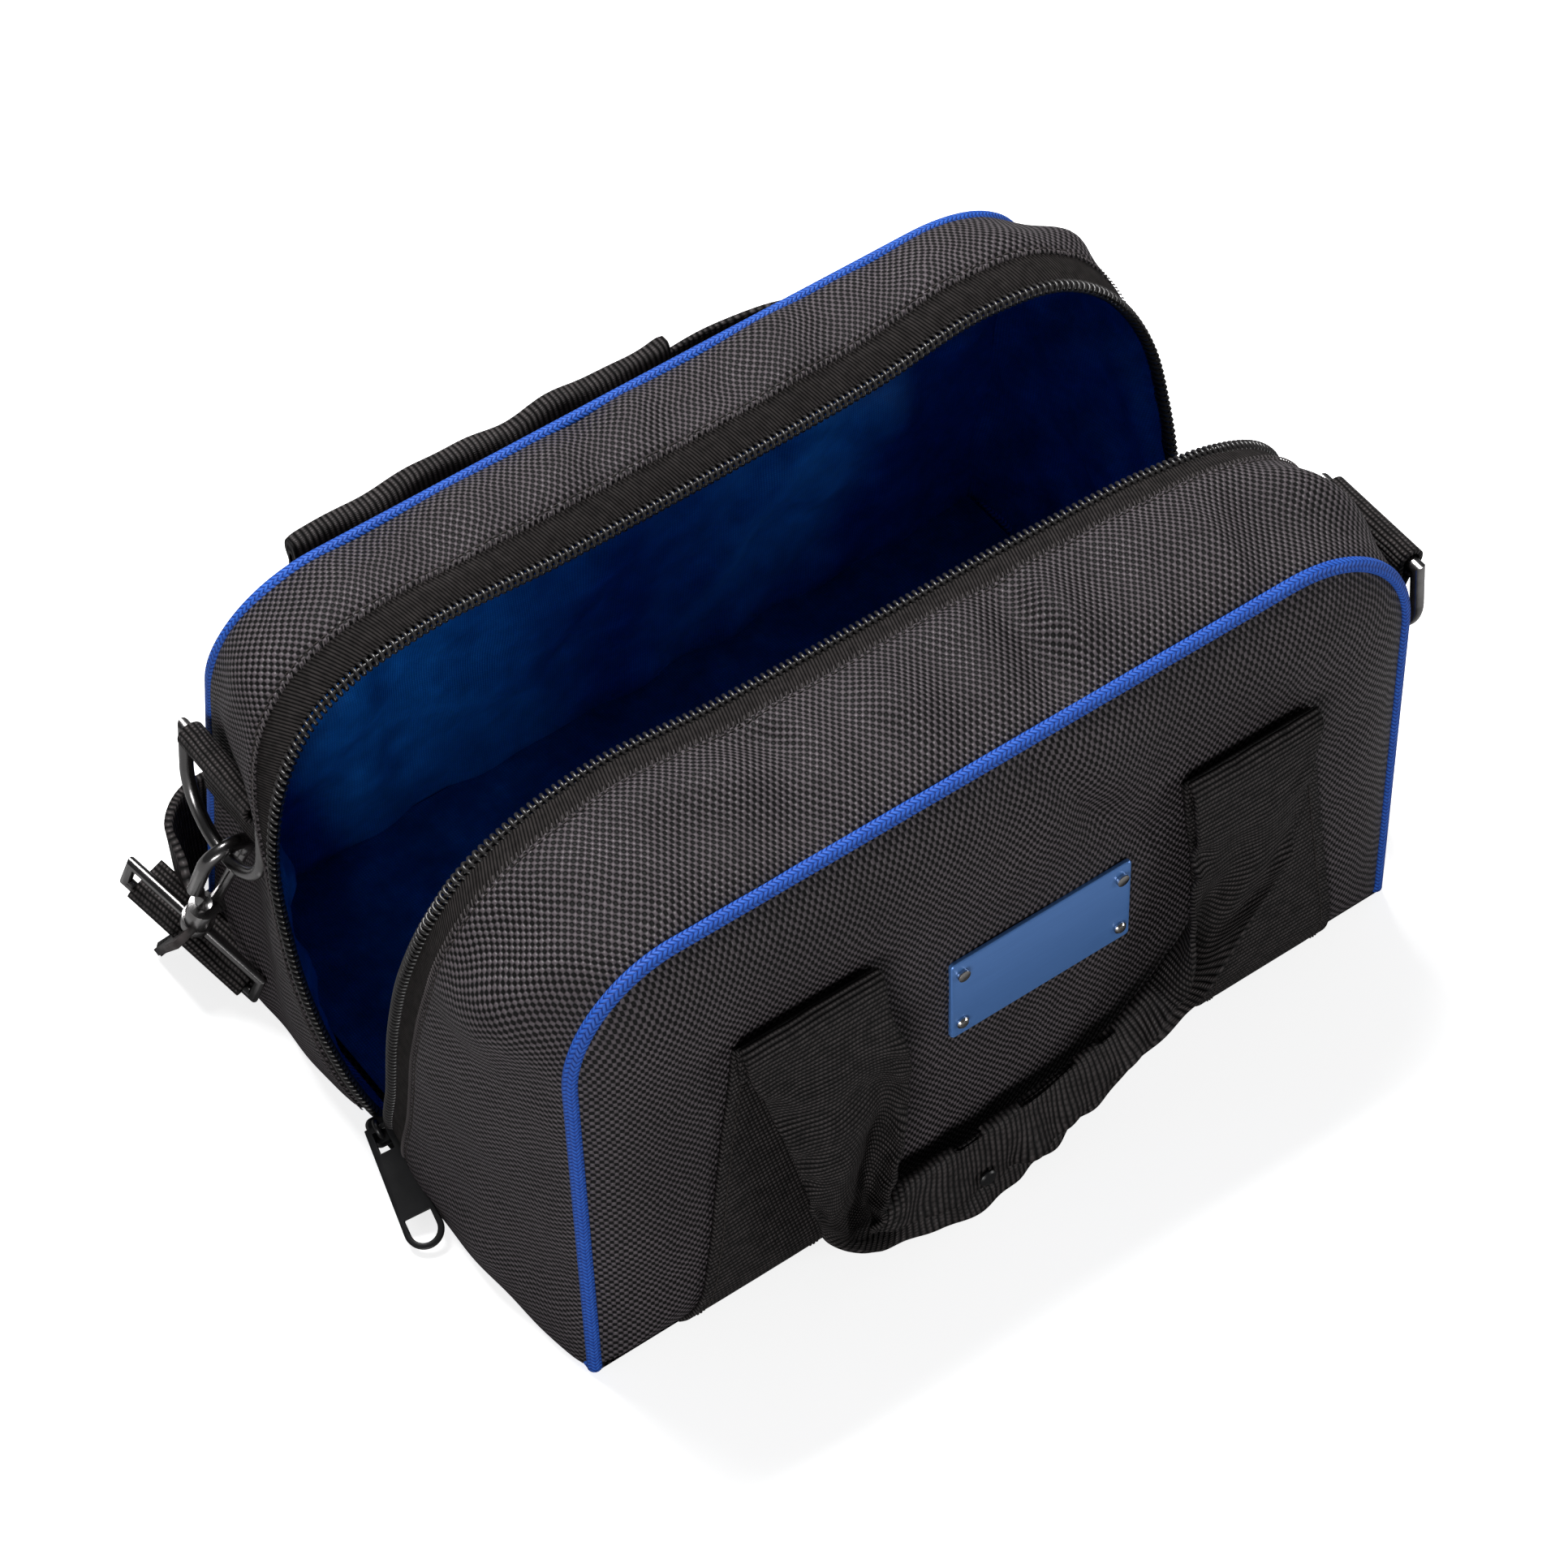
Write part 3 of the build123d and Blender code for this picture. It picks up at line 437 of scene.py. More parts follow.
def taped(name):
    """Zip tape: matte twill with fine cross ribs."""
    f = Finish(name, Specular_IOR_Level=0.08)
    u, v = f.uv()
    slant = f.do("ADD", u, f.do("MULTIPLY", v, 0.4))
    ribs = f.ridges(f.do("DIVIDE", slant, 0.0011 / math.pi))
    # painted highlight on the rib tops and painted shade between the ribs of the black tape
    painted_light_and_tone = f.do("MULTIPLY", ribs, f.do("ADD", f.noise(350.0), 0.3))
    f.colour(f.ramp(painted_light_and_tone, (0.1, (0.002, 0.002, 0.002)), (1.0, (0.042, 0.037, 0.036))))
    f.rough(0.85)
    f.bump(ribs, 0.3)
    return f.material


def moulded(name, colour, rough=0.3, relief=0.06):
    """Smooth black nylon, faintly uneven."""
    f = Finish(name, Specular_IOR_Level=0.5)
    cloud = f.noise(180.0, 3.0)
    f.colour(f.blend(cloud, tuple(0.6 * c for c in colour), colour))
    f.rough(f.do("ADD", rough, f.do("MULTIPLY", cloud, 0.15)))
    f.bump(f.noise(900.0), relief)
    return f.material


def plated(name, colour, rough=0.16):
    """Dark plating with faint handling marks and brighter worn edges."""
    f = Finish(name, Metallic=1.0)
    wear = span(f, f.put("ShaderNodeNewGeometry").outputs["Pointiness"], 0.5, 0.62)
    smear = f.noise(240.0, 4.0)
    worn = f.do("MULTIPLY", wear, smear)
    f.colour(f.blend(worn, colour, tuple(min(1.0, 4.0 * c) for c in colour)))
    f.rough(f.do("ADD", rough, f.do("MULTIPLY", smear, 0.16)))
    f.bump(f.noise(1400.0), 0.02)
    return f.material


def anodised(name):
    """Blue anodised aluminium, brushed along its length, lighter blue on its sharp edges."""
    f = Finish(name, Metallic=0.4, Coat_Weight=0.25, Coat_Roughness=0.2)
    place = f.put("ShaderNodeMapping", Vector=f.place())
    place.inputs["Scale"].default_value = (60.0, 900.0, 2400.0)
    brush = f.noise(1.0, 3.0, place.outputs[0])
    edge = span(f, f.put("ShaderNodeNewGeometry").outputs["Pointiness"], 0.5, 0.6)
    body = f.blend(brush, (0.070, 0.19, 0.50), (0.110, 0.27, 0.64))
    f.colour(f.blend(edge, body, (0.16, 0.38, 0.95)))
    f.rough(f.do("ADD", 0.3, f.do("MULTIPLY", brush, 0.16)))
    f.bump(brush, 0.015)
    return f.material


def thread(name, light):
    f = Finish(name, Specular_IOR_Level=0.15)
    u, v = f.uv()
    # painted highlight on the twist ridges and painted shade in the twist's grooves
    twist = f.ridges(f.do("DIVIDE", f.do("ADD", u, v), 0.0005 / math.pi))
    f.colour(f.ramp(twist, (0.1, tuple(0.3 * c for c in light)), (1.0, light)))
    f.rough(0.7)
    f.bump(twist, 0.06)
    return f.material


# the first colour of each is the painted sheen and highlight on the yarn tops, the second the black yarn with
# painted shade in the gaps
CLOTH = woven("cloth", (0.125, 0.107, 0.117), (0.0010, 0.0008, 0.0008))
WEBBING = ribbed("webbing", (0.066, 0.057, 0.057), (0.0016, 0.0014, 0.0014))
RIBBED = ribbed("grip_webbing", (0.066, 0.057, 0.057), (0.0014, 0.0012, 0.0012), 1.9, 1.5, 0.6, 0.25)
PIPING = braided("piping")
LINING = satin("lining")
TAPE = taped("zip_tape")
COIL = moulded("zip_coil", (0.03, 0.028, 0.028), 0.22)
METAL = plated("black_nickel", (0.17, 0.165, 0.165))
CHROME = plated("dark_chrome", (0.42, 0.40, 0.38), 0.12)
PAINT = moulded("black_enamel", (0.011, 0.011, 0.012), 0.28, 0.03)
PLATE = anodised("blue_anodised")
# each colour is the painted highlight on the twist ridges; the grooves are darker as painted shade
THREAD = thread("thread", (0.055, 0.048, 0.045))
OVERLOCK = thread("overlock", (0.11, 0.098, 0.10))
BOARD = moulded("board", (0.05, 0.045, 0.04), 0.8, 0.2)


# --- the two halves
class Half:
    """Front or back half: its seam round the panel, and its lip round the mouth."""

    def __init__(self, name, sign, lean, dome, corners, lip, seed, creases, pressed):
        self.name, self.sign, self.dome, self.seed = name, sign, dome, seed
        self.lean = math.radians(lean)
        self.up = np.array([0, -sign * math.sin(self.lean), math.cos(self.lean)])
        self.out = np.array([0, sign * math.cos(self.lean), math.sin(self.lean)])
        self.foot = np.array([0, sign * HALF_DEPTH, 0])
        self.left, self.right = corners
        self.creases, self.pressed = creases, pressed
        self.outline = self.arch(SEAM_SIDE, SEAM_TOP)
        self.seam = even(self.at(self.outline[:, 0], self.outline[:, 1], 0.0), 300)
        self.seam_length = lengths(self.seam)
        self.lip = self.same_turn(smooth(lip, 2400))

    def at(self, x, h, out):
        """A point of the panel: across, up its slope and out of it."""
        x, h, out = np.broadcast_arrays(x, h, out)
        return x[..., None] * X + h[..., None] * self.up + out[..., None] * self.out + self.foot

    def arch(self, half, top, count=700):
        turn = np.linspace(0, math.pi / 2, 40)
        a, b = self.left, self.right
        left = np.stack([-half + a - a * np.cos(turn), top - a + a * np.sin(turn)], -1)
        right = np.stack([half - b + b * np.sin(turn), top - b + b * np.cos(turn)], -1)
        line = np.concatenate([[[-half, SEAM_FOOT]], left, right, [[half, SEAM_FOOT]]])
        return even(line, count)

    def same_turn(self, line):
        """The lip's points that lie on the same rays from the middle of the base as the seam's."""
        angle = np.arctan2(line[:, 2], -line[:, 0])
        wanted = np.arctan2(self.seam[:, 2], -self.seam[:, 0])
        return read(wanted, angle, line)

    def swell(self, x, h):
        """How far the panel's cloth stands out of its seam's plane."""
        x, h = np.broadcast_arrays(x, h)
        foot = together(np.linspace(156, -156, 200), SEAM_FOOT)
        edge = np.concatenate([self.outline, foot])
        spots = np.stack([x.ravel(), h.ravel()], -1)
        near = np.concatenate(
            [np.sqrt(((s[:, None] - edge[None]) ** 2).sum(-1)).min(1) for s in np.array_split(spots, 40)]
        ).reshape(x.shape)
        deep = self.dome * (1 - (1 - np.clip(near / 32, 0, 1)) ** 2.5)
        return deep + waves(x, h, 28, 110, self.seed) * 0.25 * ramp(near, 4, 26)


FRONT = Half("front", -1, 1.2, 12.0, (38, 48), (
    (-157, -0.5, 3), (-161, -3, 14), (-165, -13, 50), (-167, -24, 100), (-166, -33.5, 135),
    (-160, -39.3, 159), (-149, -41.5, 175), (-130, -41, 183.5), (-105, -39.5, 186.5), (-60, -40.5, 184.5),
    (0, -41, 183.5), (60, -41.5, 183), (100, -42.5, 181.5), (128, -42.5, 175), (146, -41, 164),
    (157, -38, 150), (164, -33, 130), (167, -23, 98), (165, -12.5, 50), (161, -3, 14), (157, -0.5, 3),
), 3, (
    (-60, 52, -38, 4, 7, -2.6), (-48, 60, -46, 10, 6, 1.8), (-26, 58, -14, 14, 8, 1.6),
    (34, 62, 26, 8, 7, -3.0), (46, 60, 40, 14, 6, 2.3), (10, 60, 14, 20, 9, 1.2),
    (-100, 56, -112, 8, 9, 1.5), (-84, 54, -78, 12, 8, -1.4), (84, 50, 76, 6, 9, -1.5),
    (104, 46, 98, 8, 8, 1.4),
), (1, -78, 135, 5.0))
BACK = Half("back", 1, 9.1, 8.0, (37, 50), (
    (-157, 0.5, 3), (-162, 2, 14), (-172, 9, 50), (-176, 18, 92), (-172, 27, 134), (-165, 30.5, 150),
    (-157, 32.5, 161), (-146, 34.5, 169.5), (-132, 35.5, 175), (-112, 36, 178), (-60, 35.7, 176.5),
    (0, 35.7, 176.5), (60, 36, 178), (106, 37, 181.5), (134, 35.5, 176), (147, 33.5, 167),
    (157, 31, 154), (164, 27.5, 138), (168, 22, 112), (168, 14, 78), (165, 8, 46), (161, 2, 14),
    (157, 0.5, 3),
), 8, (
    (-36, 34, -26, 2, 8, -2.2), (-16, 36, -8, 4, 7, 1.8), (-62, 36, -54, 4, 9, 1.5), (14, 36, 22, 4, 9, -1.8),
    (44, 36, 52, 4, 10, 1.5), (78, 36, 86, 4, 9, -1.7), (-96, 36, -92, 4, 9, -1.6),
    (-120, 36, -116, 4, 8, 1.4), (112, 36, 118, 4, 10, 1.2),
), (-1, 69, 101, 10.0))


class Wall:
    """The gusset of a half: a skin from the seam (0) to the lip, with the way that it looks."""

    def __init__(self, half):
        self.half = half
        seam, lip = half.seam, half.lip
        self.reach = np.linalg.norm(lip - seam, axis=1)
        self.across = unit(lip - seam)
        along = unit(np.gradient(seam, axis=0) + np.gradient(lip, axis=0))
        n = unit(np.cross(along, self.across))
        if (n * (seam - np.array([0, half.sign * 60, 60]))).sum() < 0:
            n = -n
        self.n = n
        self.top = ramp(seam[:, 2], 95, 175)
        self.low = ramp(60 - seam[:, 2], 0, 60)

    def offset(self, from_seam):
        """Height of the cloth's outer face over the straight line from seam to lip."""
        i = np.arange(len(self.reach))[:, None]
        reach, s = self.reach[i], self.half.seam_length[i]
        d = np.asarray(from_seam)
        share = np.clip(d / reach, 0, 1)
        crown = (2.2 + 4.0 * self.top[i]) * np.sin(math.pi * share) ** 0.9
        edge = 1.9 * (1 - np.exp(-d / 3.0)) * (1 - 0.55 * ramp(share, 0.75, 1.0))
        soft = waves(s, d, 26, 95, self.half.seed + 20) * (0.55 + 0.9 * self.top[i])
        x = self.half.seam[i][..., 0]
        for x0, d0, x1, d1, wide, deep in self.half.creases:
            soft = soft + deep * dent(x + 0 * d, d + 0 * x, (x0, d0), (x1, d1), wide) * self.top[i]
        soft = soft * np.sin(math.pi * share) ** 0.6 * ramp(reach - d, 8, 26)
        bag = self.low[i] * 3.2 * np.sin(math.pi * np.clip(share * 1.02, 0, 1)) ** 0.5
        lift = crown + edge + soft + bag
        side, y, z, deep = self.half.pressed
        spot = self.half.seam[i] + self.across[i] * np.broadcast_arrays(d, lift)[0][..., None]
        tall = np.where(spot[..., 2] > z, 34, 60)
        near = np.exp(-(((spot[..., 1] - y) / 30) ** 2) - ((spot[..., 2] - z) / tall) ** 2)
        near = near * ramp(d, 0, 12) * ramp(reach - d, 0, 8)
        return lift - deep * near * (spot[..., 0] * side > 100)

    def point(self, d, lift):
        """Points d from the seam, lifted off the straight line from seam to lip."""
        rise = self.n[:, None] * lift[..., None]
        return self.half.seam[:, None] + self.across[:, None] * d[..., None] + rise


def gusset(half, wall):
    cloth = (wall.reach - CLOTH_END)[:, None]
    steps = np.linspace(0, 1, 44)[None, :]
    steps = 0.5 * steps + 0.5 * (1 - (1 - steps) ** 2)
    d = cloth * steps
    lift = wall.offset(d)
    left = cloth - d
    lift = lift - 1.5 * (1 - np.sqrt(np.clip(1 - (1 - np.clip(left / 1.6, 0, 1)) ** 2, 0, 1)))
    lift = lift - 0.5 * np.exp(-(((left - 1.9) / 0.8) ** 2))
    points = wall.point(d, lift)
    uv = together(half.seam_length[:, None], d)
    piece = mesh_of(f"{half.name}_wall", band(points, uv, WALL_T, wall.n[:, None]), CLOTH)
    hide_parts(f"{half.name}_gusset", f"{half.name}_gusset_foam")
    return piece


def at_lip(wall, before):
    """A line that keeps the same distance before the lip, on the cloth's outer face."""
    d = (wall.reach - before)[:, None]
    return wall.point(d, wall.offset(d))[:, 0]


def tape(half, wall):
    before = np.linspace(15.5, 3.4, 16)[None, :]
    d = wall.reach[:, None] - before
    points = wall.point(d, wall.offset(d) - 1.1)
    uv = together(half.seam_length[:, None], before)
    piece = mesh_of(f"{half.name}_tape", band(points, uv, 0.8, wall.n[:, None]), TAPE)
    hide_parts(f"{half.name}_zip_tape")
    return piece


def coil(half, wall):
    """Row of wire loops along the lip, on a cord."""
    line = at_lip(wall, 2.2) - wall.n * 1.3
    length = lengths(line)[-1]
    count = int(length / 2.3)
    spots = even(line, count)
    s, at = lengths(line), np.linspace(0, length, count)
    across = unit(read(at, s, wall.across))
    n = unit(read(at, s, wall.n))
    ahead = unit(np.cross(n, across))
    turn = np.linspace(0, math.tau, 13)[:-1]
    ring = np.stack([0.55 * np.sin(turn), 2.1 * np.cos(turn), 1.35 * np.sin(turn)], -1)
    loop = np.concatenate([ring, ring[:1]])
    tooth = tube(loop, 0.66, X, sides=6, closed=False)
    teeth = copies(tooth, spots, np.stack([ahead, across, n], 1))
    core = tube(line, 0.8, wall.n, sides=8)
    piece = mesh_of(f"{half.name}_teeth", [teeth, core], COIL)
    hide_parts(f"{half.name}_zip_coil")
    return piece


def stitches(name, rows, pitch=3.1, turn=0.0, material=None):
    """Short raised stitches along lines that lie on cloth. A row is its line and the cloth's normals."""
    path = np.stack([np.linspace(-1.15, 1.15, 5), np.zeros(5), np.array([-0.15, 0.1, 0.16, 0.1, -0.15])], -1)
    stitch = tube(path, [0.16, 0.24, 0.27, 0.24, 0.16], Z, sides=6)
    parts = []
    for line, facing in rows:
        s = lengths(line)
        count = max(2, int(s[-1] / pitch))
        at = np.linspace(1.5, s[-1] - 1.5, count)
        spots = read(at, s, line)
        n = unit(read(at, s, np.broadcast_to(facing, line.shape)))
        ahead = unit(np.gradient(spots, axis=0))
        side = unit(np.cross(n, ahead))
        lift = np.cross(ahead, side)
        ahead, side = (
            math.cos(turn) * ahead + math.sin(turn) * side,
            math.cos(turn) * side - math.sin(turn) * ahead,
        )
        parts.append(copies(stitch, spots, np.stack([ahead, side, lift], 1)))
    return mesh_of(name, parts, material or THREAD)


def lining(half, wall):
    """The blue lining of a half: up the gusset from the panel, puckered where it meets the zip."""
    start = 4.6
    share = np.linspace(0, 1, 40)[None, :]
    d = (wall.reach[:, None] - start) * (1 - share) + 1.0 * share
    s = half.seam_length[:, None]
    back = wall.reach[:, None] - start - d
    sink = 1.6 + 3.4 * ramp(back, 0, 9)
    folds = 1.0 + np.sin(s / 2.1 + 1.6 * waves(s, s * 0, 20, 70, half.seed + 40))
    pucker = 0.75 * folds * np.exp(-back / 9.0) * ramp(back, 0, 3)
    slack = 1.6 * (1.0 + waves(s, d, 22, 70, half.seed + 50)) * ramp(back, 3, 16)
    lift = wall.offset(d) - sink - pucker - np.clip(slack, 0, 4)
    parts = [grid(wall.point(d, lift), together(s, d), -wall.n[:, None])]
    bend = LINING_BEND + 40.5 * np.sin(np.linspace(0, 1, 14)[1:] * math.pi / 2)
    rows = np.concatenate([np.linspace(2.6, LINING_BEND, 46), bend])
    levels = [0, LINING_BEND, 155, 168, 176, 178.5]
    half_width = np.interp(rows, levels, [LINING_SIDE, LINING_SIDE, 148, 138, 122, 108])
    across = np.linspace(-1, 1, 90)[None, :]
    x = across * half_width[:, None]
    h = rows[:, None] + 0 * x
    rest = np.minimum(LINING_SIDE - np.abs(x), np.minimum(180 - h, h + 12))
    out = -1.8 - np.clip(1.6 * (1 + waves(x, h, 30, 110, half.seed + 60)), 0, 5) * ramp(rest, 0, 20)
    panel = half.at(x, h, out)
    parts.append(grid(panel, np.stack([x, h], -1), -half.out))
    piece = mesh_of(f"{half.name}_lining_cloth", parts, LINING)
    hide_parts(f"{half.name}_lining")
    return piece


def panel_grid(half):
    tau = np.linspace(-1, 1, 131)
    u = tau * (1.28 - 0.28 * tau**2)
    corner = max(half.left, half.right)
    low = np.linspace(0, 1, 60)
    low = SEAM_FOOT + (SEAM_TOP - SEAM_FOOT - corner) * (0.35 * low + 0.65 * low**1.5)
    high = SEAM_TOP - corner + corner * np.sin(np.linspace(0, 1, 30)[1:] * math.pi / 2)
    h = np.concatenate([low, high])
    line = half.outline
    middle = len(line) // 2
    left = np.interp(h, line[:middle, 1], line[:middle, 0])
    right = np.interp(h, line[::-1][:middle, 1], line[::-1][:middle, 0])
    left[-1], right[-1] = -SEAM_SIDE + half.left, SEAM_SIDE - half.right
    x = left[:, None] + (right - left)[:, None] * (u[None, :] + 1) / 2
    return x, h[:, None] + 0 * x


def panel(half):
    x, h = panel_grid(half)
    out = half.swell(x, h)
    if half is FRONT:
        for start, end, wide, deep in (
            ((9, 176), (28, 142), 6, 2.4), ((28, 142), (46, 122), 8, 1.8),
            ((-1, 172), (-5, 150), 8, 1.3), ((22, 176), (40, 152), 8, -0.9),
            ((62, 168), (50, 150), 8, 1.0),
        ):
            out = out - deep * dent(x, h, start, end, wide)
    thick = np.clip(out + 0.9, 0.8, 3.0)
    parts = band(half.at(x, h, out), together(x, h), thick, half.out)
    piece = mesh_of(f"{half.name}_pad", parts, CLOTH)
    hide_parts(f"{half.name}_panel", f"{half.name}_panel_foam")
    return piece


def dent(x, h, start, end, wide):
    """A crease between two points: 1 on it and 0 away from it."""
    a, b = np.array(start, float), np.array(end, float)
    run = b - a
    t = np.clip(((x - a[0]) * run[0] + (h - a[1]) * run[1]) / (run @ run), 0, 1)
    gap = np.hypot(x - a[0] - t * run[0], h - a[1] - t * run[1])
    return np.exp(-((gap / wide) ** 2))


def follow(piece):
    """Bakes the piece's transform into its mesh."""
    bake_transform(piece)


for half in (FRONT, BACK):
    wall = Wall(half)
    made = [gusset(half, wall), tape(half, wall), coil(half, wall), lining(half, wall), panel(half)]
    row = (at_lip(wall, 15.1) - wall.n * 0.45, wall.n)
    seams = stitches(f"{half.name}_topstitch", [row])
    edging = [(at_lip(wall, 13.4) - wall.n * 0.15, wall.n)]
    overlock = stitches(f"{half.name}_overlock", edging, 1.9, math.radians(62), OVERLOCK)
    cord = mesh_of(f"{half.name}_cord", [tube(half.seam, PIPING_R, half.out, sides=16)], PIPING)
    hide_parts(f"{half.name}_piping")
    for piece in (*made, seams, overlock, cord):
        follow(piece)


# --- base
def base():
    x = np.linspace(-156, 156, 100)[:, None]
    y = np.linspace(-111, 111, 80)[None, :]
    edge = np.minimum(156 - np.abs(x), 111 - np.abs(y))
    z = 0.4 + 1.6 * (1 - ramp(edge, 0, 5))
    points = together(x, y, z)
    under = mesh_of("base_cloth", [grid(points, together(x, y), -Z)], CLOTH)
    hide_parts("bottom_panel")
    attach(under, "base")

    x = np.linspace(-152.4, 152.4, 90)[:, None]
    y = np.linspace(-106, 106, 60)[None, :]
    edge = np.minimum(152.4 - np.abs(x), 106 - np.abs(y))
    z = 4.2 + 1.4 * (1 + waves(x, y, 30, 120, 77)) * ramp(edge, 0, 18) * 0.7
    points = together(x, y, np.maximum(z, 4.0))
    floor_cloth = mesh_of("base_lining_cloth", [grid(points, together(x, y), Z)], LINING)
    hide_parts("bottom_lining")
    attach(floor_cloth, "base")

    cords = []
    for side in (-1, 1):
        y = np.linspace(-HALF_DEPTH, HALF_DEPTH, 60)
        line = together(side * SEAM_SIDE, y, BASE_PIPING_R)
        cords.append(tube(line, BASE_PIPING_R, Z, sides=16))
    cord = mesh_of("base_cord", cords, PIPING)
    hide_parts("base_piping")
    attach(cord, "base")


base()


# --- handles
def leg(half, side, top, name, node):
    """Webbing sewn flat on a panel, its edges stitched."""
    w = np.linspace(-HALF_WEBBING, HALF_WEBBING, 15)[None, :]
    h = np.linspace(3, top, 70)[:, None]
    middle = LEG_FOOT_X + (LEG_TOP_X - LEG_FOOT_X) * (h - LEG_FOOT) / (top - LEG_FOOT)
    x = side * middle + w
    thick = 1.7
    out = half.swell(x, h + 0 * x) + thick + 0.25
    out = out - 0.35 * ramp(np.abs(w), 20.5, 23) * ramp(25.2 - np.abs(w), 0, 2.4)
    points = half.at(x, h + 0 * x, out)
    uv = together(h, w)
    piece = mesh_of(name, band(points, uv, thick, half.out), WEBBING)
    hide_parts(node)
    lines = (points[:, 1], points[:, -2], points[int(0.86 * len(h)), 1:-1])
    rows = [(line + half.out * STITCH_LIFT, half.out) for line in lines]
    seams = stitches(f"{name}_stitches", rows, 2.8)
    follow(piece)
    follow(seams)


for side, word in ((-1, "left"), (1, "right")):
    leg(FRONT, side, FRONT_LEG_TOP, f"front_leg_{word}_webbing", f"front_leg_{word}")
    leg(BACK, -side, BACK_LEG_TOP, f"back_leg_{word}_webbing", f"back_leg_{word}")


def rails_to_grid(stations, rows, places, w):
    """Smooth surface through rows of points that lie at the given places across the webbing."""
    stations = np.asarray(stations, float)
    run = lengths(stations.mean(1))
    along = hermite(stations, run, np.linspace(0, run[-1], rows))
    return hermite(along.transpose(1, 0, 2), np.asarray(places, float), w).transpose(1, 0, 2)


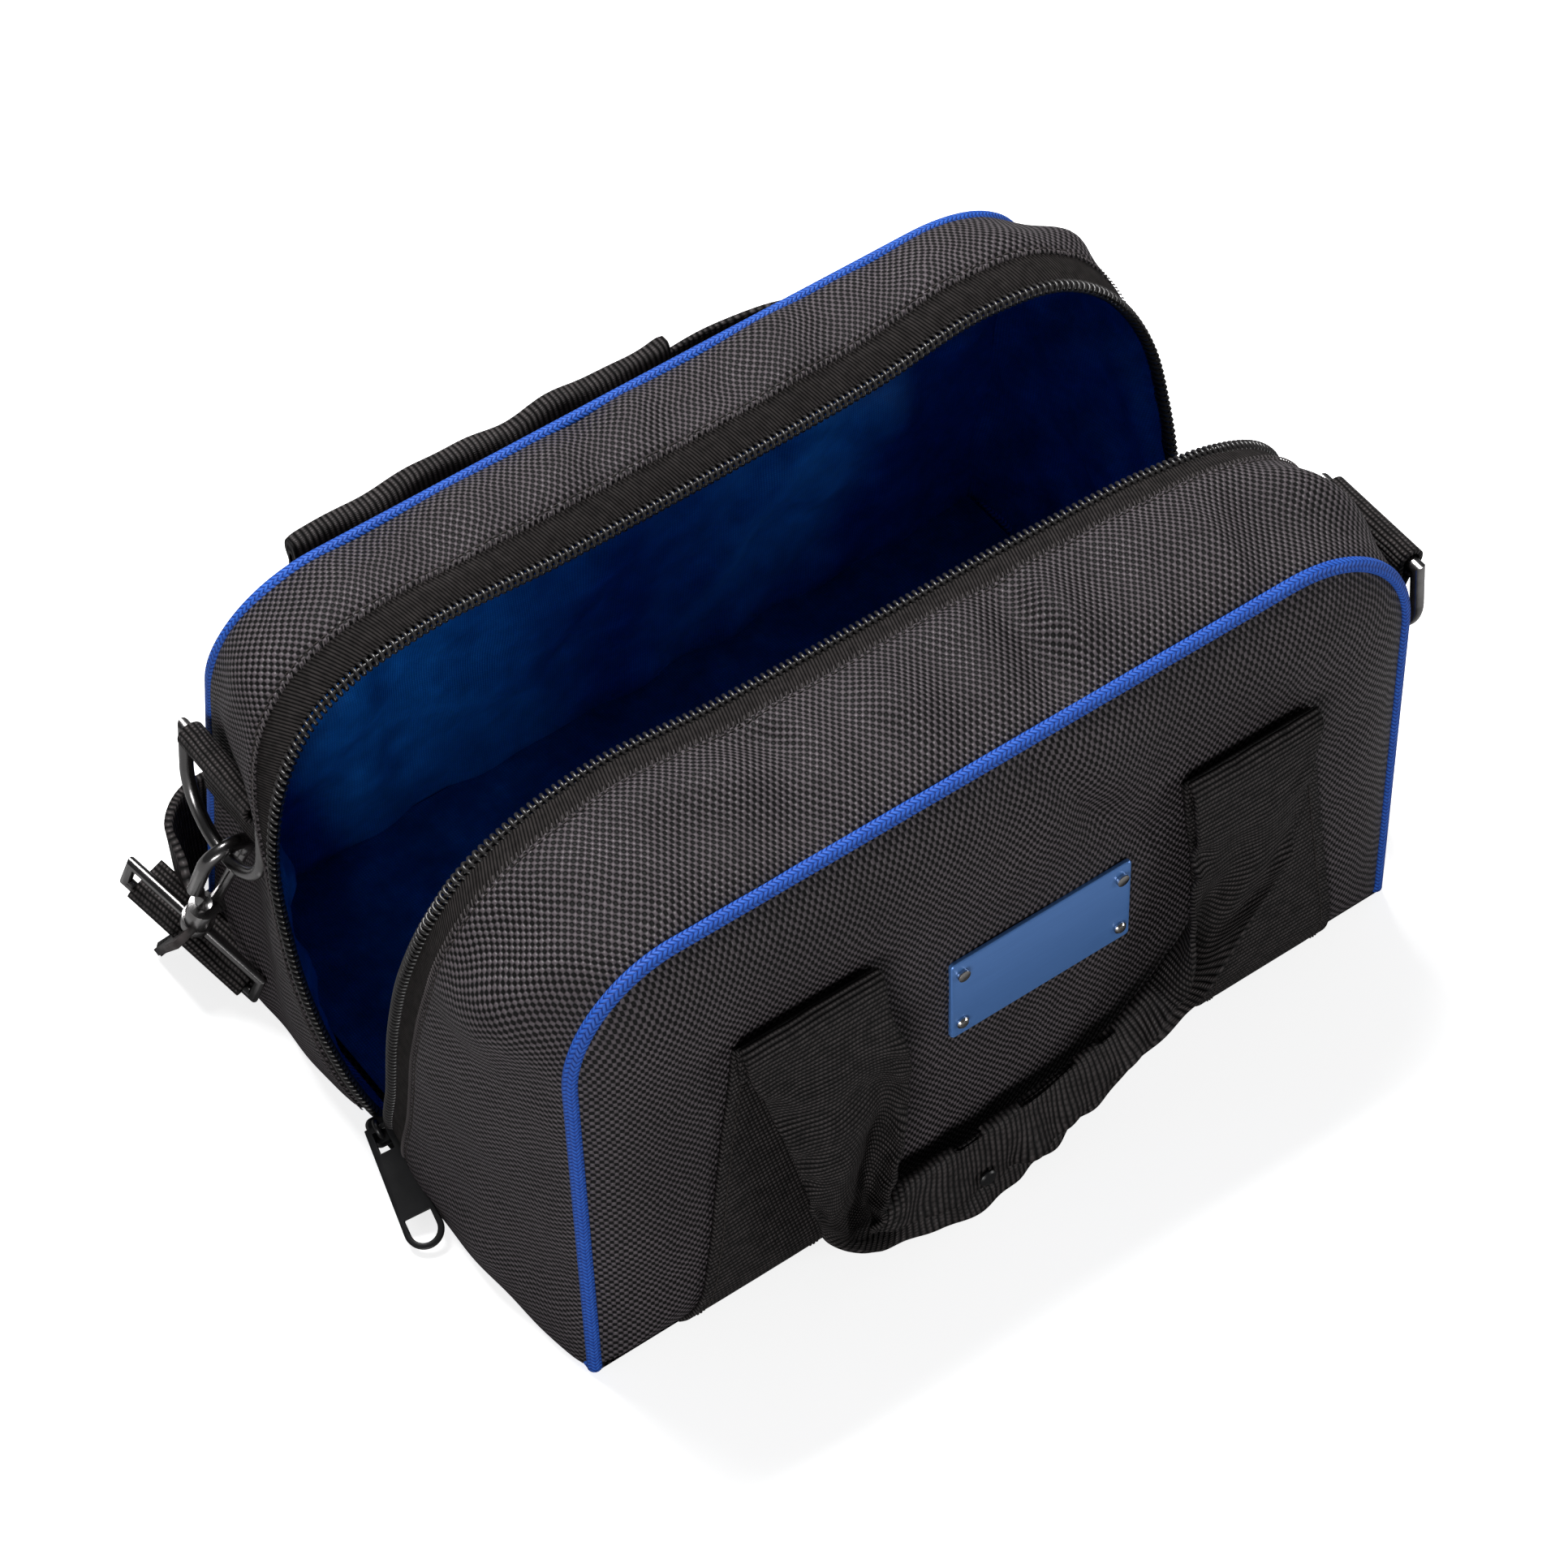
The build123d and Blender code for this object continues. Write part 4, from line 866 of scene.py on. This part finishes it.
def front_handle():
    """One strap of webbing: over both folds, down, and folded lengthwise into the grip between them.
    Each row has its outer edge, two lines within it, and its inner edge."""

    rails = (-HALF_WEBBING, -RAIL, RAIL, HALF_WEBBING)

    def over(x, y, z, way):
        return [(x + way * across, y, z) for across in rails]

    turns = ((-121.3, 126), (-120.4, 134), (-119.9, 139.5), (-121.8, 142.2), (-124.9, 139.8))
    hanging_left = [
        [(-107, -127, 130), (-91, -127.3, 129), (-74, -127.3, 128), (-57.5, -127, 127)],
        [(-103, -128, 118), (-87, -129, 116), (-69, -128.5, 113), (-52.5, -128, 108)],
        [(-100, -129.5, 105), (-82, -131.5, 102), (-62.5, -127.8, 98), (-50.5, -129, 92)],
        [(-97, -130.5, 92), (-79, -133.5, 87), (-60.5, -125.8, 83), (-52.5, -130.5, 77)],
        [(-94, -131.5, 79), (-78.5, -135.2, 75), (-61, -124.8, 67), (-55.5, -132.5, 63)],
        [(-92, -133, 67), (-80.5, -136, 63), (-63, -124.5, 52), (-60, -134, 51)],
        [(-90, -134, 56), (-82.5, -134, 49), (-65, -124.5, 39), (-64.5, -135, 42)],
        [(-86.5, -135, 44), (-77, -131, 34), (-65, -124.6, 29), (-68, -135.8, 37)],
        [(-77.5, -135.5, 28), (-69, -128.5, 20), (-61, -125, 25.5), (-69, -136, 32)],
        [(-66, -134.5, 15.5), (-58, -126.5, 14.5), (-55, -126.2, 31), (-64, -135.5, 27)],
        [(-53, -132, 7.5), (-49, -126.4, 15), (-48, -127.4, 33), (-55, -134, 22)],
    ]
    grip = [
        [(-40, -132.3, 2.4), (-39, -127, 17), (-38.5, -127.6, 33.0), (-41, -133.2, 15)],
        [(-29, -133.6, 1.2), (-29, -127.4, 15), (-29, -127.4, 34.2), (-30, -131.9, 12.0)],
        [(-15, -132.6, 1.2), (-15, -127.4, 15), (-15, -127.4, 35.2), (-15.5, -131.9, 12.0)],
        [(-1, -131.6, 5.6), (-1, -127.4, 19.5), (-1, -127.4, 37.6), (-1, -132.8, 16)],
        [(14, -131.6, 13.6), (13.5, -127.4, 26), (12.5, -127.5, 41), (13.5, -132.9, 22)],
        [(29, -131.8, 21.8), (27.5, -127.8, 34), (25.5, -127.6, 45), (27.5, -133.6, 30)],
        [(41, -132.5, 31), (38, -128.4, 40), (35, -127.7, 49.5), (38, -134.8, 38.5)],
    ]
    hanging_right = [
        [(52, -134.6, 40.5), (46, -129, 45), (43, -127, 54), (45.5, -135.8, 48)],
        [(60, -135.8, 50), (53.5, -128.8, 50.5), (49.5, -126, 58.5), (51, -136.3, 57)],
        [(67, -135.5, 60.5), (60, -128.6, 56), (54.5, -125.2, 64), (54.5, -136, 66)],
        [(76.5, -134.6, 72), (66, -128.8, 63.5), (59.5, -124.8, 70), (55.5, -134.5, 76)],
        [(86.5, -133.2, 81), (72, -129.4, 74), (64.5, -125, 78), (56.5, -132.4, 84)],
        [(93.5, -131.6, 89), (78, -129.8, 85.5), (68, -125.8, 86), (57.5, -130.3, 91)],
        [(97.5, -130.2, 101), (83, -130, 98), (70.5, -127.2, 96.5), (58.5, -128.8, 100)],
        [(101, -128.8, 116), (86, -129, 113), (72, -128.4, 112), (59, -128.2, 113)],
        [(105, -127.4, 130), (89, -127.6, 128.5), (74, -127.5, 128), (58.3, -127.2, 128)],
    ]
    stations = [over(-LEG_TOP_X, y, z, 1) for y, z in turns] + hanging_left + grip + hanging_right
    stations += [over(LEG_TOP_X, y, z, -1) for y, z in turns[::-1]]
    w = np.linspace(-HALF_WEBBING, HALF_WEBBING, 33)
    points = rails_to_grid(stations, 380, rails, w)
    s = lengths(points[:, 16])
    n = normals(points)
    free = ramp(140 - points[:, 16, 2], 6, 30)[:, None]
    ruffle = waves(s[:, None], w[None, :], 9, 22, 5) * ramp(np.abs(w), 10, 25)[None, :]
    crumple = waves(s[:, None], w[None, :], 18, 60, 12)
    points = points + n * ((0.5 * crumple + 0.7 * ruffle) * free)[..., None]
    points[..., 2] = np.maximum(points[..., 2], 0.6)
    uv = lie(s, w)
    middle = points[:, 16, 0]
    down_left, down_right = (int(np.argmax(middle > end)) for end in GRIP_ENDS)
    pieces = []
    for name, lo, hi, finish, node, slot in (
        ("front_strap_left", 0, down_left + 1, WEBBING, "front_strip_left", "webbing"),
        ("front_grip_webbing", down_left, down_right + 1, RIBBED, "front_grip", "grip_cloth"),
        ("front_strap_right", down_right, len(points), WEBBING, "front_strip_right", "webbing"),
    ):
        part = slice(lo, hi)
        piece = mesh_of(name, band(points[part], uv[part], 1.7, -Y), finish)
        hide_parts(node)
        pieces.append(piece)
    for piece in (pieces[0], pieces[2]):
        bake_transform(piece)
    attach(pieces[1], "front_handle")


front_handle()


def back_handle():
    """Handle standing behind the bag: a flat arch of webbing with a padded wrap round its grip."""
    low, high = (np.array(v) * 1000 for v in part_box("back_handle_webbing"))
    y = (low[1] + high[1]) / 2
    knots = [
        (-83, y - 2.6, low[2] - 9, 0), (-83, y - 2.4, low[2] - 2, 0), (-83, y, low[2] + 2, 0),
        (-82, y, low[2] + 16, 0), (-75, y + 0.4, high[2] - 31, 22), (-62, y, high[2] - 25, 62),
        (-44, y, high[2] - 24, 90), (0, y - 0.5, high[2] - 24, 90), (30, y, high[2] - 24.5, 90),
        (50, y + 0.5, high[2] - 25, 84), (66, y, high[2] - 27, 60), (77, y, high[2] - 34, 22),
        (82, y, low[2] + 16, 0), (83, y, low[2] + 2, 0), (83, y - 2.4, low[2] - 2, 0),
        (83, y - 2.6, low[2] - 9, 0),
    ]
    line = smooth(np.array(knots, float) * np.array([1, 1, 1, 0.2]), 260)
    path, turn = line[:, :3], np.radians(line[:, 3] / 0.2)
    outward = np.where(path[:, :1] < 0, -X, X)
    wide = outward * np.cos(turn)[:, None] + Z * np.sin(turn)[:, None]
    s = lengths(path)
    w = np.linspace(-HALF_STRAP, HALF_STRAP, 17)
    points = path[:, None] + w[None, :, None] * wide[:, None]
    points = points + Y * (0.5 * waves(s[:, None], w[None, :], 30, 80, 31))[..., None]
    piece = mesh_of("back_strap", band(points, lie(s, w), 1.8, Y), WEBBING)
    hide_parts("back_handle_webbing")
    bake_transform(piece)

    low, high = (np.array(v) * 1000 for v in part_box("grip_wrap"))
    mid = (low + high) / 2
    size = (high - low) / 2
    x = np.linspace(-1, 1, 90)
    turn = np.linspace(0, math.tau, 65)[:-1]
    ends = np.clip((1 - np.abs(x)) / 0.05, 0, 1)[:, None]
    plump = 0.72 + 0.28 * np.sqrt(ends)
    wide = np.sign(np.cos(turn)) * np.abs(np.cos(turn)) ** 0.55
    tall = np.sign(np.sin(turn)) * np.abs(np.sin(turn)) ** 0.8
    soft = 1 + 0.05 * waves(x[:, None] * size[0], turn[None, :] * 12, 16, 50, 41)
    yy = mid[1] + size[1] * wide[None, :] * plump * soft * (0.86 + 0.14 * np.cos(x * 5.5)[:, None] ** 2)
    zz = mid[2] + (size[2] - 1.2 + 1.0 * waves(x * size[0], 0, 22, 60, 42)[:, None]) * tall[None, :]
    xx = mid[0] + x[:, None] * size[0] + 1.2 * waves(zz, 0, 14, 40, 43) * (1 - ends)
    points = together(xx, yy, zz)
    centre = together(xx, mid[1] + 0 * yy, mid[2] + 0 * zz)
    around = np.concatenate([[0], np.cumsum(np.full(64, 2.2))])
    parts = [grid(points, lie(x * size[0], around), points - centre, wrap=True)]
    for row in (0, -1):
        ring = np.concatenate([points[row], points[row, :1]])
        inner = mid * np.array([0, 1, 1]) + (ring - mid) * np.array([0, 0.35, 0.8]) + ring[:, :1] * X
        face = X * (-1 if row == 0 else 1)
        parts.append(grid(np.stack([ring, inner]), lie(np.array([0.0, 3.0]), around), face))
    wrap = mesh_of("grip_wrap_cover", parts, RIBBED)
    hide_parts("grip_wrap")
    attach(wrap, "back_handle")


back_handle()


# --- rings, hooks and shoulder strap
def tab(word, side, body):
    """Webbing rolled round the bar of a ring, its two layers sewn on the gusset below."""
    low, high = (np.array(v) * 1000 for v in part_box(f"ring_tab_{word}"))
    bar = low[0] + TAB_ROLL if side < 0 else high[0] - TAB_ROLL
    centre = np.array([bar, (low[1] + high[1]) / 2, high[2] - TAB_ROLL])
    line = [(-4.6, -28.0), (-4.6, -14.0), (-4.7, -3.0)]
    arc = [(-4.7 * math.cos(t), 4.7 * math.sin(t)) for t in np.radians(np.linspace(0, 235, 26))]
    tail = [(0.2, -7.4), (-1.7, -12.0), (-2.3, -20.0), (-2.4, -28.0)]
    line = smooth(np.array(line + arc[1:] + tail), 110)
    w = np.linspace((low[1] - high[1]) / 2, (high[1] - low[1]) / 2, 21)
    path = centre + line[:, :1] * X * side + line[:, 1:] * Z
    points = path[:, None] + w[None, :, None] * Y
    parts = band(points, lie(lengths(path), w), 1.6, (path - centre)[:, None])
    piece = mesh_of(f"ring_tab_{word}_webbing", parts, WEBBING)
    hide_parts(f"ring_tab_{word}")
    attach(piece, body)
    return centre


def chain(side, ring, down, along, onward):
    """Middle of the loop's lower bar, the way it runs and the way the strap leaves it."""
    lean = math.radians(RING_LEAN)
    drop = np.array([side * math.sin(lean), 0, -math.cos(lean)]) * RING_DROP
    down, along = unit(down), unit(along)
    along = unit(along - down * (along @ down))
    bar = ring + drop + down * CHAIN_LENGTH
    onward = unit(np.array(onward, float))
    onward = unit(onward - along * (along @ onward))
    return bar, along, onward


def strap_fold(word, bar, along, onward):
    """Webbing doubled round a loop's bar."""
    lift = np.cross(along, onward)
    turn = np.radians(np.linspace(90, 270, 25))
    r = FOLD_R
    line = [(t, r) for t in np.linspace(12, 1, 8)]
    line += [(r * math.cos(t), r * math.sin(t)) for t in turn]
    line += [(t, -r) for t in np.linspace(1, 12, 8)]
    line = even(np.array(line), 60)
    path = bar + line[:, :1] * onward + line[:, 1:] * lift
    w = np.linspace(-HALF_STRAP, HALF_STRAP, 17)
    points = path[:, None] + w[None, :, None] * along
    parts = band(points, lie(lengths(path), w), 1.4, (path - bar)[:, None])
    piece = mesh_of(f"strap_fold_{word}_webbing", parts, WEBBING)
    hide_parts(f"strap_fold_{word}")
    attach(piece, f"strap_loop_{word}")


left_ring = tab("left", -1, "back_half")
right_ring = tab("right", 1, "front_half")
LEFT = chain(-1, left_ring, (-0.07, 0.36, -0.93), (0.26, -0.86, -0.45), (1, 0, 0))
RIGHT = chain(1, right_ring, (0.12, 0.34, -0.93), (0, -0.94, -0.34), (0, 0.2, -1))
strap_fold("left", *LEFT)
strap_fold("right", *RIGHT)


def shoulder_strap():
    """The strap stands on its edge round the back of the bag, from one loop to the other."""
    left, along, onward = LEFT
    right, right_along, right_onward = RIGHT
    knots = [
        (*(left + onward * 9), *along), (-165.8, 103, 22.5, 0.15, -0.50, -0.85),
        (-163.5, 116, 24.3, 0, -0.2, -0.98), (-155, 125, 24.3, 0, -0.05, -1), (-114, 125, 24.3, 0, 0, -1),
        (0, 125, 24.3, 0, 0, -1), (146, 125, 24.3, 0, 0, -1), (168, 117, 24.3, 0, 0, -1),
        (178, 91, 24.3, 0, 0, -1), (180, 0, 24.3, 0, -0.1, -1), (180, -34, 26.3, 0, -0.55, -0.83),
        (*(right + right_onward * 9), *right_along),
    ]
    knots = np.array(knots, float)
    knots[:, 3:] *= 20
    line = smooth(knots, 420)
    path, wide = line[:, :3], unit(line[:, 3:])
    ahead = unit(np.gradient(path, axis=0))
    wide = unit(wide - ahead * (wide * ahead).sum(1, keepdims=True))
    face = np.cross(ahead, wide)
    s = lengths(path)
    w = np.linspace(-23.5, 23.5, 15)
    points = path[:, None] + w[None, :, None] * wide[:, None]
    sway = 0.8 * waves(s[:, None], w[None, :], 60, 200, 51)
    points = points + sway[..., None] * face[:, None]
    points[..., 2] = np.maximum(points[..., 2], 0.4)
    piece = mesh_of("shoulder_strap", band(points, lie(s, w), 2.6, face[:, None]), WEBBING)
    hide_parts("strap_webbing")
    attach(piece, "base")


shoulder_strap()


# --- CAD parts that keep their shape
def finished(node, material, edge=0.0):
    thing = nodes[node]
    thing.data.materials.clear()
    thing.data.materials.append(material)
    if edge:
        weld = thing.modifiers.new("weld", "WELD")
        weld.merge_threshold = 1e-6
        bevel = thing.modifiers.new("edge", "BEVEL")
        bevel.width = edge * 0.001
        bevel.segments = 2
        bevel.limit_method = "ANGLE"
        bevel.angle_limit = math.radians(38)
        bevel.use_clamp_overlap = True
    for polygon in thing.data.polygons:
        polygon.use_smooth = True


finished("base_board", BOARD)
finished("nameplate", PLATE, 0.18)
finished("nameplate_rivets", CHROME, 0.3)
finished("grip_snap", PAINT, 0.3)
for word in ("left", "right"):
    finished(f"d_ring_{word}", METAL)
    for kind in ("snap_hook", "hook_gate", "strap_loop"):
        finished(f"{kind}_{word}", METAL, 0.25)
finished("strap_adjuster", PAINT, 0.6)
finished("zip_slider", PAINT, 0.35)
finished("zip_pull", PAINT, 0.3)
finished("zip_stops", TAPE, 0.2)


# --- studio
def studio():
    mesh = bpy.data.meshes.new("studio_floor")
    mesh.from_pydata([(-6, -6, 0), (6, -6, 0), (6, 6, 0), (-6, 6, 0)], [], [(0, 1, 2, 3)])
    floor = add("studio_floor", mesh)
    f = Finish("studio_floor", Roughness=0.9, Specular_IOR_Level=0.1)
    ray = f.put("ShaderNodeLightPath")
    seen = f.do("MAXIMUM", ray.outputs["Is Camera Ray"], ray.outputs["Is Transmission Ray"])
    f.colour(f.blend(seen, (0.30, 0.30, 0.30), (0.95, 0.95, 0.95)))
    f.shader.inputs["Emission Color"].default_value = (1, 1, 1, 1)
    f.join(f.shader.inputs["Emission Strength"], f.do("MULTIPLY", seen, 0.75))
    mesh.materials.append(f.material)

    world = bpy.data.worlds.new("studio")
    bpy.context.scene.world = world
    world.use_nodes = True
    world.node_tree.nodes.clear()
    new, link = world.node_tree.nodes.new, world.node_tree.links.new

    def background(colour, strength):
        node = new("ShaderNodeBackground")
        node.inputs[0].default_value = (*colour, 1)
        node.inputs[1].default_value = strength
        return node.outputs[0]

    light, seen = background((0.95, 0.97, 1.0), 0.08), background((1, 1, 1), 1.0)
    kinds = ("LightPath", "MixShader", "OutputWorld", "Math")
    ray, mix, end, either = (new(f"ShaderNode{kind}") for kind in kinds)
    either.operation = "MAXIMUM"
    link(ray.outputs["Is Camera Ray"], either.inputs[0])
    link(ray.outputs["Is Transmission Ray"], either.inputs[1])
    for socket, value in zip(mix.inputs, (either.outputs[0], light, seen)):
        link(value, socket)
    link(mix.outputs[0], end.inputs[0])

    def lamp(name, place, size, power):
        data = bpy.data.lights.new(name, "AREA")
        data.shape = "RECTANGLE"
        data.size, data.size_y = size
        data.energy = power
        thing = add(name, data)
        thing.location = place
        aim = Vector((0, 0, 0.08)) - Vector(place)
        thing.rotation_euler = aim.to_track_quat("-Z", "Y").to_euler()

    lamp("key", (0.05, 0.7, 1.65), (0.9, 0.6), 41)
    lamp("fill", (-1.3, -1.3, 0.3), (0.8, 0.5), 15)
    lamp("rim", (1.5, -1.3, 0.35), (0.6, 0.5), 9)


studio()


def camera():
    yaw, pitch, roll = (math.radians(a) for a in CAMERA_TURN)
    ahead = np.array([math.sin(yaw) * math.cos(pitch), math.cos(yaw) * math.cos(pitch), -math.sin(pitch)])
    right = np.array([math.cos(yaw), -math.sin(yaw), 0.0])
    up = np.cross(right, ahead)
    turned = math.cos(roll) * right + math.sin(roll) * up
    risen = -math.sin(roll) * right + math.cos(roll) * up
    place = np.array(CAMERA_AIM) - ahead * CAMERA_AWAY
    data = bpy.data.cameras.new("camera")
    data.sensor_width = CAMERA_SENSOR
    data.lens = CAMERA_LENS
    data.clip_start, data.clip_end = 0.05, 30
    thing = add("camera", data)
    rows = np.eye(4)
    rows[:3] = np.stack([turned, risen, -ahead, place * 0.001], 1)
    thing.matrix_world = Matrix(rows.tolist())
    bpy.context.scene.camera = thing


camera()
bpy.context.scene.view_settings.view_transform = "Standard"
